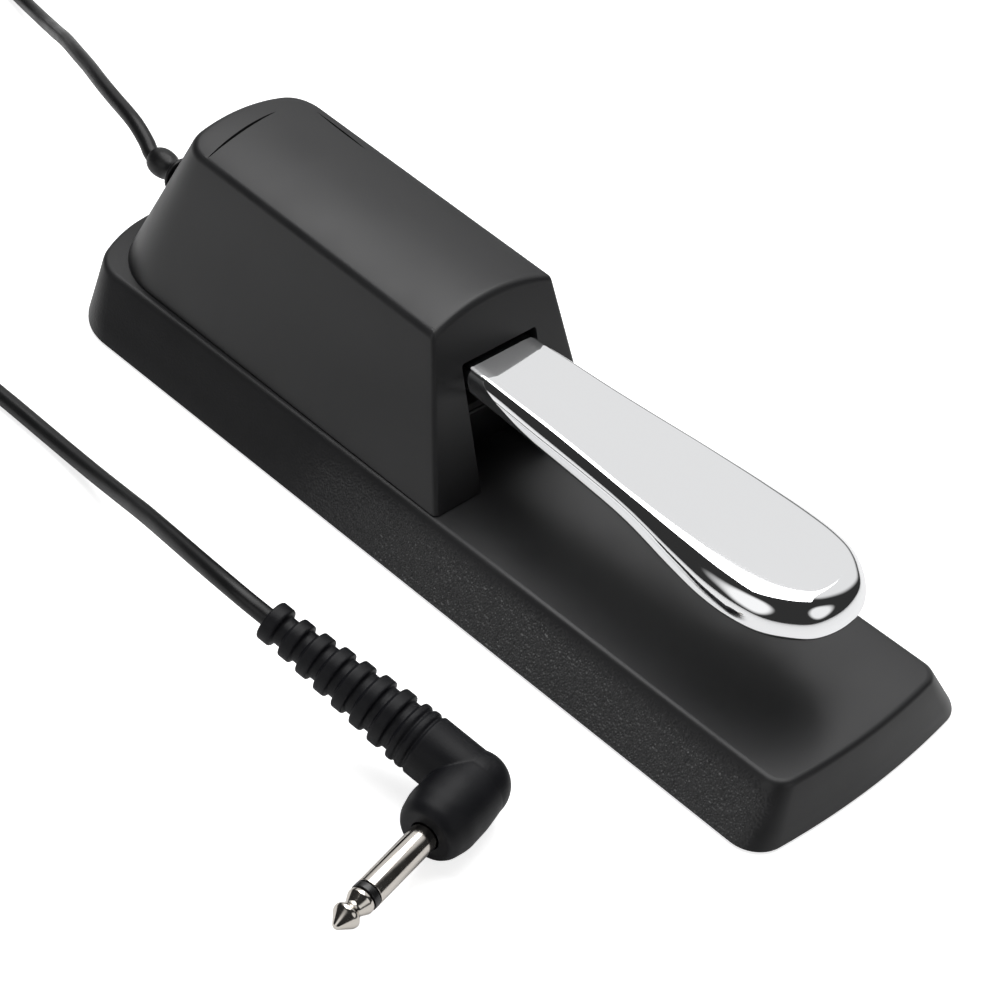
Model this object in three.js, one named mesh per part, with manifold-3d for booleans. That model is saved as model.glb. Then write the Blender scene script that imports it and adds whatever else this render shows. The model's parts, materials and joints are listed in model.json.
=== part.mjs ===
// Piano-style sustain pedal: a low base with sloping sides, a tower housing,
// a sprung chrome lever, a snap switch and a cord with a right-angle 6.35 mm plug.
// Millimetres, +Z up, pedal tip toward -Y, floor at z = 0.
import * as THREE from "three";
import { mergeVertices } from "three/addons/utils/BufferGeometryUtils.js";
import Module from "manifold-3d";

const wasm = await Module();
wasm.setup();

// ---------------------------------------------------------------- driving dimensions
const length = 248;
const width = 72;
const frontY = -length / 2;
const rearY = length / 2;
const gap = 0.3;              // clearance left between touching pieces

const matThickness = 1.5;
const plateThickness = 2;
const skirtBottom = 0.6;
const deckHeight = 14;
const wall = 2.4;

const base = {
  floor: {
    frontHalf: width / 2, rearHalf: width / 2,
    front: frontY, frontBow: 2.7, frontRadius: 8,
    rear: rearY, rearBow: 18, rearRadius: 19.5,
  },
  deck: {
    frontHalf: 26.9, rearHalf: 27.1,
    front: frontY + 4.2, frontBow: 2, frontRadius: 5,
    rear: rearY - 3, rearBow: 9.7, rearRadius: 12.7,
  },
};

const housing = {
  foot: {
    frontHalf: 26.2, rearHalf: 25,
    front: -12.6, frontBow: 0, frontRadius: 1.4,
    rear: 117, rearBow: 1.5, rearRadius: 23.5,
  },
  top: {
    frontHalf: 18.35, rearHalf: 19.1,
    front: 1.8, frontBow: 0, frontRadius: 1,
    rear: 91.3, rearBow: 3, rearRadius: 8.4,
  },
  footZ: deckHeight + gap,
  topZ: 58,
};
const roof = { edgeAtFront: 54.9, slope: 0.041, crown: 3.15, halfWidth: 18.9 };

const slot = { halfTop: 11.9, halfBottom: 11.5, top: 45.4 };

const lever = {
  top: 44.2,
  rearHalf: 11.2,
  rearDepth: 10,
  neckDepth: 6.2,
  tipDepth: 8.8,
  tail: 82,
};
const pivot = { y: 66, z: 38.4, pinRadius: 2.5, pinHalf: 17.4 };
const travel = 5;             // degrees the lever swings down at full press

const stop = { y: 3.4, top: 28.05, padThickness: 2 };
const spring = { y: 15, meanRadius: 5.6, wire: 1.5, turns: 6, bottom: 17.5, top: 40.3 };
const switchBox = { x: 0, y: 34, z: 23.4, w: 6.2, l: 19.8, h: 10.2 };
const armHinge = { y: 42.2, z: 29.6 };
const cordRadius = 2.1;
const exitHeight = 29;

// ---------------------------------------------------------------- materials
function finish(color, metalness, roughness) {
  return new THREE.MeshStandardMaterial({ color, metalness, roughness });
}
const blackAbs = finish(0x1c1c1e, 0, 0.5);
const chrome = finish(0xe6e8ea, 1, 0.06);
const steel = finish(0x9a9da0, 1, 0.35);
const zinc = finish(0xb9bcc0, 1, 0.3);
const rubber = finish(0x141415, 0, 0.85);
const nylon = finish(0xe4e0d4, 0, 0.5);
const brass = finish(0xb8923a, 1, 0.3);
const cordJacket = finish(0x101012, 0, 0.45);
const redJacket = finish(0xa01818, 0, 0.5);
const nickel = finish(0xc9c4b8, 1, 0.15);

// ---------------------------------------------------------------- solids
function toSolid(geometry) {
  const g = geometry.clone();
  g.deleteAttribute("normal");
  g.deleteAttribute("uv");
  const welded = mergeVertices(g, 1e-5);
  const vertProperties = new Float32Array(welded.attributes.position.array);
  const triVerts = new Uint32Array(welded.index.array);
  return new wasm.Manifold(new wasm.Mesh({ numProp: 3, vertProperties, triVerts }));
}

function toGeometry(solid) {
  const mesh = solid.getMesh();
  const g = new THREE.BufferGeometry();
  const points = new Float32Array(mesh.numVert * 3);
  for (let i = 0; i < mesh.numVert; i++) {
    for (let k = 0; k < 3; k++) points[3 * i + k] = mesh.vertProperties[mesh.numProp * i + k];
  }
  g.setAttribute("position", new THREE.BufferAttribute(points, 3));
  g.setIndex(new THREE.BufferAttribute(new Uint32Array(mesh.triVerts), 1));
  g.computeVertexNormals();
  return g;
}

function join(...solids) {
  return solids.reduce((sum, next) => sum.add(next));
}

function cut(body, ...tools) {
  return tools.reduce((rest, tool) => rest.subtract(tool), body);
}

function box(w, l, h, x, y, z) {
  const g = new THREE.BoxGeometry(w, l, h);
  g.translate(x, y, z);
  return toSolid(g);
}

// A box from its lower to its upper z, centred on x and y.
function block(w, l, x, y, bottom, top) {
  return box(w, l, top - bottom, x, y, (bottom + top) / 2);
}

const axisTurn = {
  x: new THREE.Matrix4().makeRotationZ(-Math.PI / 2),
  y: new THREE.Matrix4(),
  z: new THREE.Matrix4().makeRotationX(Math.PI / 2),
};

// A turned body: profile is a list of [radius, distance along the axis].
function turned(profile, axis, x, y, z, sides = 24) {
  const g = new THREE.LatheGeometry(profile.map(([r, d]) => new THREE.Vector2(r, d)), sides);
  g.applyMatrix4(axisTurn[axis]);
  g.translate(x, y, z);
  return toSolid(g);
}

function rod(radius, from, to, axis, x, y, z, sides = 24) {
  return turned([[0, from], [radius, from], [radius, to], [0, to]], axis, x, y, z, sides);
}

// Closed rings of points, all with the same count, joined from the first to the last.
function ringLoft(rings) {
  const count = rings[0].length;
  const points = rings.flat();
  const index = [];
  for (let i = 0; i + 1 < rings.length; i++) {
    for (let j = 0; j < count; j++) {
      const a = i * count + j;
      const b = i * count + (j + 1) % count;
      index.push(a, b, b + count, a, b + count, a + count);
    }
  }
  const last = (rings.length - 1) * count;
  const cap = (ring, start, up) => {
    const flat = ring.map((p) => new THREE.Vector2(p.x, p.y));
    for (const [a, b, c] of THREE.ShapeUtils.triangulateShape(flat, [])) {
      const ab = flat[b].clone().sub(flat[a]);
      const ac = flat[c].clone().sub(flat[a]);
      const facesUp = ab.cross(ac) > 0;
      if (facesUp === up) index.push(start + a, start + b, start + c);
      else index.push(start + a, start + c, start + b);
    }
  };
  cap(rings[0], 0, false);
  cap(rings[rings.length - 1], last, true);
  const g = new THREE.BufferGeometry();
  const flatPoints = new Float32Array(points.flatMap((p) => [p.x, p.y, p.z]));
  g.setAttribute("position", new THREE.BufferAttribute(flatPoints, 3));
  g.setIndex(index);
  return toSolid(g);
}

// A round tube along a smooth curve through the points.
function tube(points, radius, steps, sides) {
  const path = new THREE.CatmullRomCurve3(points.map((p) => new THREE.Vector3(...p)));
  const ring = [];
  for (let i = 0; i < sides; i++) {
    const a = 2 * Math.PI * i / sides;
    ring.push(new THREE.Vector2(radius * Math.cos(a), radius * Math.sin(a)));
  }
  const g = new THREE.ExtrudeGeometry(new THREE.Shape(ring), { extrudePath: path, steps });
  return toSolid(g);
}

function node(name, body, material) {
  const mesh = new THREE.Mesh(toGeometry(body), material);
  mesh.name = name;
  return mesh;
}

// ---------------------------------------------------------------- plan outlines
// An outline is a near-rectangle whose front and rear are bowed and whose corners
// are rounded; halves are half widths and bows are how far the ends bulge.
function mixOutline(a, b, t) {
  const out = {};
  for (const key of Object.keys(a)) out[key] = a[key] + (b[key] - a[key]) * t;
  return out;
}

function insetOutline(o, d) {
  return {
    ...o,
    frontHalf: o.frontHalf - d, rearHalf: o.rearHalf - d,
    front: o.front + d, rear: o.rear - d,
    frontRadius: Math.max(o.frontRadius - d, 0.4),
    rearRadius: Math.max(o.rearRadius - d, 0.4),
  };
}

// Right half of one end, from the middle out to the straight side.
function endCurve(half, y, bow, radius, inward, steps) {
  let x = half - radius;
  for (let i = 0; i < 20; i++) {
    const slope = 2 * bow * x / half ** 2;
    x = half - radius + slope * radius / Math.hypot(1, slope);
  }
  const slope = 2 * bow * x / half ** 2;
  const norm = Math.hypot(1, slope);
  const centre = y + inward * (bow * (x / half) ** 2 + radius / norm);
  const points = [];
  for (let i = 0; i < steps; i++) {
    const t = i / steps;
    points.push([x * t, y + inward * bow * (x * t / half) ** 2]);
  }
  const start = Math.atan2(-1 / norm, slope / norm);
  for (let i = 0; i <= steps; i++) {
    const a = start * (1 - i / steps);
    points.push([half - radius + radius * Math.cos(a), centre + inward * radius * Math.sin(a)]);
  }
  return points;
}

function outlineRing(o, z, steps = 6) {
  const front = endCurve(o.frontHalf, o.front, o.frontBow, o.frontRadius, 1, steps);
  const rear = endCurve(o.rearHalf, o.rear, o.rearBow, o.rearRadius, -1, steps);
  const right = [...front, ...rear.reverse()];
  const left = right.slice(1, -1).reverse().map(([x, y]) => [-x, y]);
  return [...right, ...left].map(([x, y]) => new THREE.Vector3(x, y, z));
}

// ---------------------------------------------------------------- base
const plateScrews = [[20, -103], [21, -22], [21, 78]];
const bracketScrews = [[9, 57], [9, 75]];
const housingScrews = [[18.6, 3], [14.5, 99]];
const clampY = 86;
const clampScrews = [[8, clampY]];

function bothSides(list) {
  return list.flatMap(([x, y]) => [[x, y], [-x, y]]);
}

function baseOutline(z) {
  return mixOutline(base.floor, base.deck, (z - skirtBottom) / (deckHeight - skirtBottom));
}

function baseShell() {
  const edge = 0.8;
  const outer = ringLoft([
    outlineRing(baseOutline(skirtBottom), skirtBottom),
    outlineRing(baseOutline(deckHeight - edge), deckHeight - edge),
    outlineRing(insetOutline(baseOutline(deckHeight), edge * 0.3), deckHeight - edge * 0.3),
    outlineRing(insetOutline(baseOutline(deckHeight), edge), deckHeight),
  ]);
  const ceiling = deckHeight - wall;
  const inner = ringLoft([
    outlineRing(insetOutline(baseOutline(-1), wall), -1),
    outlineRing(insetOutline(baseOutline(ceiling), wall), ceiling),
  ]);
  let body = cut(outer, inner);
  const bossBottom = matThickness + gap + plateThickness + gap;
  for (const [x, y] of bothSides(plateScrews)) {
    body = body.add(rod(3.6, bossBottom, ceiling + 0.5, "z", x, y, 0, 16));
  }
  for (const [x, y] of bothSides([...bracketScrews, ...clampScrews])) {
    body = body.add(rod(3.4, 5, ceiling + 0.5, "z", x, y, 0, 16));
  }
  body = body.add(clampPost());
  body = body.add(block(22, 6, 0, stop.y, ceiling, stop.top - stop.padThickness - gap));
  body = body.add(block(2.4, 23, -4.9, 35.5, ceiling, 28));
  body = body.add(rod(2, ceiling, 16.4, "z", 0, spring.y, 0, 16));
  for (const [x, y] of bothSides(plateScrews)) {
    body = body.subtract(rod(1.7, 0, 11, "z", x, y, 0, 12));
  }
  for (const [x, y] of bothSides(bracketScrews)) {
    body = body.subtract(rod(1.7, 4, deckHeight + 1, "z", x, y, 0, 12));
  }
  for (const [x, y] of bothSides(clampScrews)) {
    body = body.subtract(rod(1.7, 4, 22, "z", x, y, 0, 12));
  }
  for (const [x, y] of bothSides(housingScrews)) {
    body = body.subtract(rod(1.8, 4, deckHeight + 1, "z", x, y, 0, 12));
  }
  for (const y of switchScrewY) {
    body = body.subtract(rod(1.25, -8, 0, "x", 0, y, switchScrewZ, 12));
  }
  return body;
}

function clampPost() {
  return block(23, 8, 0, clampY, deckHeight - 1, clampSeat);
}

function weightPlate() {
  const o = insetOutline(baseOutline(2.8), wall + 1.2);
  const bottom = matThickness + gap;
  let body = ringLoft([outlineRing(o, bottom, 4), outlineRing(o, bottom + plateThickness, 4)]);
  for (const [x, y] of bothSides(plateScrews)) {
    const seat = turned([[0, -1], [3.4, -1], [3.4, 0.1], [1.8, 1.7], [1.8, 4], [0, 4]],
      "z", x, y, bottom, 12);
    body = body.subtract(seat);
  }
  return body;
}

function rubberMat() {
  const o = insetOutline(base.floor, 3.4);
  let body = ringLoft([outlineRing(o, 0, 4), outlineRing(o, matThickness, 4)]);
  for (const [x, y] of bothSides(plateScrews)) {
    body = body.subtract(rod(4.2, -1, matThickness + 1, "z", x, y, 0, 12));
  }
  return body;
}

// ---------------------------------------------------------------- housing
function housingOutline(z) {
  return mixOutline(housing.foot, housing.top, (z - housing.footZ) / (housing.topZ - housing.footZ));
}

// Everything under the crowned roof; drop lowers the surface for the inside.
function underRoof(drop) {
  const { edgeAtFront, slope, crown, halfWidth } = roof;
  const radius = (halfWidth ** 2 + crown ** 2) / (2 * crown);
  const section = (y) => {
    const edge = edgeAtFront + slope * y - drop;
    const reach = 27;
    const points = [new THREE.Vector3(-reach, y, -5), new THREE.Vector3(reach, y, -5)];
    for (let i = 0; i <= 24; i++) {
      const x = reach - 2 * reach * i / 24;
      const rise = Math.sqrt(radius ** 2 - x ** 2) - (radius - crown);
      points.push(new THREE.Vector3(x, y, edge + rise));
    }
    return points;
  };
  return crossLoft(section(-60), section(160));
}

// Two matching sections across the length, joined and closed by fans.
function crossLoft(front, rear) {
  const count = front.length;
  const points = [...front, ...rear];
  const index = [];
  for (let j = 0; j < count; j++) {
    const k = (j + 1) % count;
    index.push(j, count + k, k, j, count + j, count + k);
  }
  const flat = front.map((p) => new THREE.Vector2(p.x, p.z));
  for (const [a, b, c] of THREE.ShapeUtils.triangulateShape(flat, [])) {
    const turn = flat[b].clone().sub(flat[a]).cross(flat[c].clone().sub(flat[a])) > 0;
    const [p, q] = turn ? [b, c] : [c, b];
    index.push(a, p, q, count + a, count + q, count + p);
  }
  const g = new THREE.BufferGeometry();
  const values = new Float32Array(points.flatMap((p) => [p.x, p.y, p.z]));
  g.setAttribute("position", new THREE.BufferAttribute(values, 3));
  g.setIndex(index);
  return toSolid(g);
}

function housingCover() {
  const high = 66;
  const open = housing.footZ - 1;
  const outer = ringLoft([
    outlineRing(housingOutline(housing.footZ), housing.footZ),
    outlineRing(housingOutline(high), high),
  ]).intersect(underRoof(0));
  const inner = ringLoft([
    outlineRing(insetOutline(housingOutline(open), wall), open),
    outlineRing(insetOutline(housingOutline(high), wall), high),
  ]).intersect(underRoof(wall));
  let body = cut(outer, inner);
  const outside = outer;
  for (const [x, y] of bothSides(housingScrews)) {
    body = body.add(rod(3.4, housing.footZ, 30, "z", x, y, 0, 16).intersect(outside));
    body = body.subtract(rod(1.7, 0, 26, "z", x, y, 0, 12));
  }
  body = body.add(rod(6.4, 103, 111.3, "y", 0, 0, exitHeight, 28));
  body = body.subtract(rod(3.6, 90, 115, "y", 0, 0, exitHeight, 24));
  body = body.add(block(16, 8, 0, 19, 48.2, 56));
  body = body.subtract(slotTool());
  return body.subtract(roofRecess());
}

// The lever's opening runs down through the front wall to the deck.
function slotTool() {
  const ring = (half, z) => [
    new THREE.Vector3(-half, -30, z), new THREE.Vector3(half, -30, z),
    new THREE.Vector3(half, 6, z), new THREE.Vector3(-half, 6, z),
  ];
  return ringLoft([ring(slot.halfBottom, 0), ring(slot.halfTop, slot.top)]);
}

// A shallow badge recess near the rear of the roof, deepest along its rear and right sides.
function roofRecess() {
  const { edgeAtFront, slope, crown } = roof;
  const surface = (y) => edgeAtFront + slope * y + crown;
  const corner = (x, y, depth) => new THREE.Vector3(x, y, surface(y) - 1.6 * (x / 16) ** 2 - depth);
  const floor = [corner(-16, 62, -0.3), corner(15, 62, 0.3), corner(15, 81, 0.5), corner(-17, 81, 0.5)];
  const lid = floor.map((p) => new THREE.Vector3(p.x, p.y, 70));
  return ringLoft([floor, lid]);
}

// ---------------------------------------------------------------- lever
// Half width of the lever's plan, and y, from the slot to the tip.
const leverPlan = [
  [11.2, 4], [11.5, -8], [12.6, -26], [13.7, -42], [15, -57], [16.8, -71], [17.8, -82],
  [17.5, -90.5], [15.9, -97], [12.4, -102.3], [7.8, -106], [0, -107.6],
];

function leverOutline() {
  const otherSide = leverPlan.slice(0, -1).reverse().map(([x, y]) => [-x, y]);
  const spline = new THREE.CatmullRomCurve3(
    [...leverPlan, ...otherSide].map(([x, y]) => new THREE.Vector3(x, y, 0)), false, "centripetal");
  const steps = 30;
  const side = spline.getSpacedPoints(2 * steps).slice(0, steps + 1).map((p) => [p.x, p.y]);
  side[steps][0] = 0;
  const right = [[lever.rearHalf, lever.tail - 4], [lever.rearHalf, 40],
    [lever.rearHalf, 21], [lever.rearHalf, 7], ...side];
  right.unshift([lever.rearHalf - 4, lever.tail]);
  const tipToTail = right.reverse();
  const left = tipToTail.slice(1).reverse().map(([x, y]) => [-x, y]);
  return [...tipToTail, ...left];
}

// Rises smoothly from 0 to 1 as y goes forward from one place to another.
function ease(y, from, to) {
  const t = Math.min(Math.max((from - y) / (from - to), 0), 1);
  return t * t * (3 - 2 * t);
}

// Deep at the pivot and the switch, thin along the neck, deeper again at the paddle.
function leverDepth(y) {
  const { rearDepth, neckDepth, tipDepth } = lever;
  return rearDepth - (rearDepth - neckDepth) * ease(y, 20, 8) + (tipDepth - neckDepth) * ease(y, -50, -88);
}

// How far the top edge's rounding reaches in from the side, and how far it falls:
// both grow from the slot along the neck and are largest round the paddle.
function edgeReach(y) {
  return 2.2 + 0.5 * ease(y, -12, -30) + 3.1 * ease(y, -50, -88);
}

function edgeFall(y) {
  return 3.6 + 0.6 * ease(y, -12, -30) + 3 * ease(y, -50, -88);
}

function offsetPlan(plan, amount) {
  return plan.map(([x, y], i) => {
    const [x0, y0] = plan[(i + plan.length - 1) % plan.length];
    const [x1, y1] = plan[(i + 1) % plan.length];
    const d = Math.hypot(x1 - x0, y1 - y0);
    const inset = amount(y);
    return [x - inset * (y1 - y0) / d, y + inset * (x1 - x0) / d];
  });
}

function leverBlank() {
  const plan = leverOutline();
  const ring = (inset, height) => offsetPlan(plan, inset)
    .map(([x, y], i) => new THREE.Vector3(x, y, height(plan[i][1])));
  const under = 1.4;
  const bottom = (y) => lever.top - leverDepth(y);
  const rings = [
    ring(() => 3.1, bottom),
    ring(() => under, bottom),
    ring(() => under * 0.3, (y) => bottom(y) + under * 0.3),
    ring(() => 0, (y) => bottom(y) + under),
  ];
  const steps = 5;
  for (let i = 0; i <= steps; i++) {
    const a = Math.PI / 2 * i / steps;
    const inset = (y) => edgeReach(y) * (1 - Math.cos(a));
    rings.push(ring(inset, (y) => lever.top - edgeFall(y) * (1 - Math.sin(a))));
  }
  return ringLoft(rings);
}

// The casting is hollow underneath, with a cross rib that works the switch.
function leverPocket(from, to) {
  const plan = offsetPlan(leverOutline(), () => 3);
  const ring = (z) => plan.map(([x, y]) => new THREE.Vector3(x, Math.min(Math.max(y, from), to), z));
  const tool = plan.map(([x, y]) => new THREE.Vector3(x, y, 0));
  const bounds = block(60, to - from, 0, (from + to) / 2, 0, 80);
  const low = tool.map((p) => new THREE.Vector3(p.x, p.y, 20));
  const high = tool.map((p) => new THREE.Vector3(p.x, p.y, lever.top - 3.4));
  return ringLoft([low, high]).intersect(bounds);
}

// The rib, the lug over the lower stop and the pivot's boss stand down from the casting.
function pedalLever() {
  const ribFront = 24.5;
  const ribRear = 28;
  const seat = lever.top - lever.rearDepth;
  const ceiling = lever.top - 3.2;
  const hollowed = cut(leverBlank(), leverPocket(-104, ribFront), leverPocket(ribRear, 52));
  const solid = join(
    hollowed,
    block(17, ribRear - ribFront, 0, (ribFront + ribRear) / 2, seat, ceiling),
    block(14.6, 5.4, 0, stop.y, seat, ceiling),
    block(2 * lever.rearHalf, 13, 0, pivot.y, pivot.z - 6.2, pivot.z),
  );
  return cut(solid, rod(4.3, -20, 20, "x", 0, pivot.y, pivot.z, 28));
}

// ---------------------------------------------------------------- pivot
function pivotBracket() {
  const inner = lever.rearHalf + 2.1;
  const thick = 1.6;
  const outer = inner + thick;
  const bottom = deckHeight + gap;
  let body = block(2 * outer, 30, 0, pivot.y, bottom, bottom + thick);
  for (const side of [-1, 1]) {
    body = body.add(block(thick, 26, side * (inner + thick / 2), pivot.y, bottom, 44));
  }
  for (const [x, y] of bothSides(bracketScrews)) {
    body = body.subtract(rod(1.8, bottom - 1, bottom + thick + 1, "z", x, y, 0, 12));
  }
  return body.subtract(rod(pivot.pinRadius + gap, -30, 30, "x", 0, pivot.y, pivot.z, 24));
}

function pivotShaft() {
  const { pinRadius: r, pinHalf: h } = pivot;
  const groove = [h - 2, h - 0.9];
  const half = [[r - 0.6, groove[0]], [r - 0.6, groove[1]], [r, groove[1]], [r, h - 0.4], [r - 0.4, h], [0, h]];
  const mirrored = half.map(([radius, d]) => [radius, -d]).reverse();
  const profile = [...mirrored, [r, -groove[0]], [r, groove[0]], ...half];
  return turned(profile, "x", 0, pivot.y, pivot.z, 18);
}

function pivotBush(side) {
  const r = pivot.pinRadius + gap;
  const face = lever.rearHalf + gap;
  const profile = [[r, 3], [4, 3], [4, face], [5.2, face], [5.2, face + 1.5], [r, face + 1.5], [r, 3]];
  const placed = side > 0 ? profile : profile.map(([radius, d]) => [radius, -d]).reverse();
  return turned(placed, "x", 0, pivot.y, pivot.z, 18);
}

function retainingClip(side) {
  const from = side > 0 ? pivot.pinHalf - 1.8 : -pivot.pinHalf + 1.1;
  const ring = cut(
    rod(4.6, from, from + 0.7, "x", 0, pivot.y, pivot.z, 24),
    rod(pivot.pinRadius - 0.3, from - 1, from + 2, "x", 0, pivot.y, pivot.z, 20),
  );
  return ring.subtract(box(8, 3.6, 6, from, pivot.y, pivot.z - 4));
}

// ---------------------------------------------------------------- spring and stops
function returnSpring() {
  const { y, meanRadius, wire, turns, bottom, top } = spring;
  const steps = turns * 12;
  const points = [];
  for (let i = 0; i <= steps; i++) {
    const a = 2 * Math.PI * turns * i / steps;
    const z = bottom + wire / 2 + (top - bottom - wire) * i / steps;
    points.push([meanRadius * Math.cos(a), y + meanRadius * Math.sin(a), z]);
  }
  return tube(points, wire / 2, steps, 6);
}

function springCup() {
  const bottom = deckHeight + gap;
  const post = spring.meanRadius - spring.wire / 2 - 0.6;
  const profile = [
    [2.4, bottom], [8.2, bottom], [8.2, spring.bottom + 1.2], [7, spring.bottom + 1.2],
    [7, spring.bottom - gap], [post, spring.bottom - gap], [post, 21], [post - 1, 22],
    [2.4, 22], [2.4, bottom],
  ];
  return turned(profile, "z", 0, spring.y, 0, 24);
}

function upperStop() {
  return block(15, 7, 0, 19, lever.top + gap, 47.9);
}

function lowerStop() {
  return block(21, 5.4, 0, stop.y, stop.top - stop.padThickness, stop.top);
}

// ---------------------------------------------------------------- switch
const switchScrewY = [switchBox.y - 4.75, switchBox.y + 4.75];
const switchScrewZ = switchBox.z - 1.6;

function switchBody() {
  const { x, y, z, w, l, h } = switchBox;
  let body = box(w, l, h, x, y, z);
  const terminal = (dz) => box(0.8, 4, 2.6, x, y + l / 2 + 1.9, z + dz);
  body = join(body, terminal(-3), terminal(2.4));
  body = body.subtract(rod(1.5, z + 0.6, z + 9, "z", x, y, 0, 16));
  for (const screwY of switchScrewY) {
    body = body.subtract(rod(1.25, -6, 6, "x", x, screwY, switchScrewZ, 12));
  }
  return body;
}

function switchPlunger() {
  const top = 30.7;
  const low = switchBox.z + 3;
  return turned([[0, low], [1.2, low], [1.2, top - 0.6], [0.7, top], [0, top]],
    "z", switchBox.x, switchBox.y, 0, 16);
}

// A thin leaf on a pin at the rear of the switch, rising forward to the lever's rib.
function switchArm() {
  const tipY = 26.2;
  const tipZ = lever.top - lever.rearDepth - gap - 0.9;
  const run = armHinge.y - tipY;
  const rise = tipZ - armHinge.z;
  const leaf = new THREE.BoxGeometry(4, Math.hypot(run, rise), 0.5);
  leaf.rotateX(-Math.atan2(rise, run));
  leaf.translate(0, (armHinge.y + tipY) / 2, (armHinge.z + tipZ) / 2);
  const knuckle = rod(0.7, -2, 2, "x", 0, armHinge.y, armHinge.z, 12);
  const pad = rod(0.8, -2, 2, "x", 0, tipY, tipZ, 12);
  return join(toSolid(leaf), knuckle, pad);
}

// ---------------------------------------------------------------- screws
// A pan-head screw, head up, with its seat at the origin.
function panScrew(shank, reach) {
  const head = 1.85 * shank;
  const profile = [
    [0, -reach], [shank * 0.4, -reach + 0.2], [shank, -reach + 1.6], [shank, 0],
    [head, 0], [head, 0.9 * shank], [head * 0.75, 1.4 * shank], [0, 1.4 * shank],
  ];
  const body = turned(profile, "z", 0, 0, 0, 12);
  const slotDepth = 1.4 * shank;
  return cut(
    body,
    box(head * 1.1, 0.6, shank, 0, 0, slotDepth),
    box(0.6, head * 1.1, shank, 0, 0, slotDepth),
  );
}

// A countersunk screw pointing up, with its head face at the origin.
function flatScrew(shank, reach) {
  const profile = [
    [0, 0], [2.8, 0], [2.8, 0.2], [shank, 1.5], [shank, reach - 1.6], [shank * 0.4, reach], [0, reach],
  ];
  const body = turned(profile, "z", 0, 0, 0, 12);
  return cut(body, box(3.2, 0.6, 1.2, 0, 0, 0), box(0.6, 3.2, 1.2, 0, 0, 0));
}

function cornerName(x, y, list) {
  const order = list.findIndex(([, sy]) => sy === y);
  const row = list.length === 1 ? "" : ["front_", "middle_", "rear_"][list.length === 2 && order ? 2 : order];
  return `${row}${x > 0 ? "right" : "left"}`;
}

function screwSet(prefix, list, make, z) {
  return bothSides(list).map(([x, y]) =>
    node(`${prefix}_${cornerName(x, y, list)}`, make().translate([x, y, z]), zinc));
}

function allScrews() {
  const bracketSeat = deckHeight + 2 * gap + 1.6;
  const under = deckHeight - wall - gap;
  const housingScrew = () => panScrew(1.5, 12).rotate([180, 0, 0]);
  return [
    ...screwSet("plate_screw", plateScrews, () => flatScrew(1.5, 8), matThickness + gap + 0.1),
    ...screwSet("bracket_screw", bracketScrews, () => panScrew(1.5, 9), bracketSeat),
    ...screwSet("housing_screw", housingScrews, housingScrew, under),
    ...screwSet("clamp_screw", clampScrews, () => panScrew(1.5, 13), clampTop + gap),
    ...switchScrewY.map((y, i) => {
      const screw = panScrew(1, 8.6).rotate([0, 90, 0]);
      const seat = switchBox.w / 2 + gap;
      const name = `switch_screw_${["front", "rear"][i]}`;
      return node(name, screw.translate([seat, y, switchScrewZ]), zinc);
    }),
  ];
}

// ---------------------------------------------------------------- cable entry
const clampSeat = 20;
const clampTop = 26.4;
const cableZ = clampSeat + gap + cordRadius;

function cableClamp() {
  let body = block(22, 7.4, 0, clampY, clampSeat + gap, clampTop);
  body = body.subtract(rod(cordRadius + gap, 78, 94, "y", 0, 0, cableZ, 20));
  body = body.subtract(block(2 * (cordRadius + gap), 10, 0, clampY, clampSeat - 1, cableZ));
  for (const side of [-1, 1]) {
    body = body.subtract(rod(1.8, 10, 30, "z", side * clampScrews[0][0], clampY, 0, 12));
  }
  return body;
}

// A flanged bush in the rear wall, a short neck and a round ball that the cord leaves.
function strainRelief() {
  const bore = cordRadius + 0.35;
  const neck = 3.3;
  const profile = [
    [bore, 100.6], [5, 100.6], [5, 102.6], [neck, 102.6], [neck, 111.6], [4.9, 111.6], [4.9, 112.8],
    [3.4, 113.2], [3, 114.6], [3.1, 115.8], [3.6, 117.2], [3.85, 119], [3.7, 120.8], [3.1, 122.3],
    [bore, 122.8], [bore, 100.6],
  ];
  return turned(profile, "y", 0, 0, exitHeight, 16);
}

const innerCable = [
  [0, 80, 22.4], [0, 84, 22.4], [0, 88, 22.4], [0, 91.5, 22.4], [0, 94, 23.9],
  [0, 96.6, 27], [0, 99.4, 28.9], [0, 103, 29], [0, 107, 29], [0, 112, 29],
];
const leads = {
  lead_signal: [[0.9, 79.4, 22.8], [1.6, 72, 22.8], [1.4, 62, 23.6], [0.6, 54, 25.4], [0, 48.4, 25.8]],
  lead_ground: [[-0.9, 79.4, 22], [-1.6, 72, 20.8], [-1.4, 62, 19.6], [-0.6, 54, 20], [0, 48.4, 20.4]],
};

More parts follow.
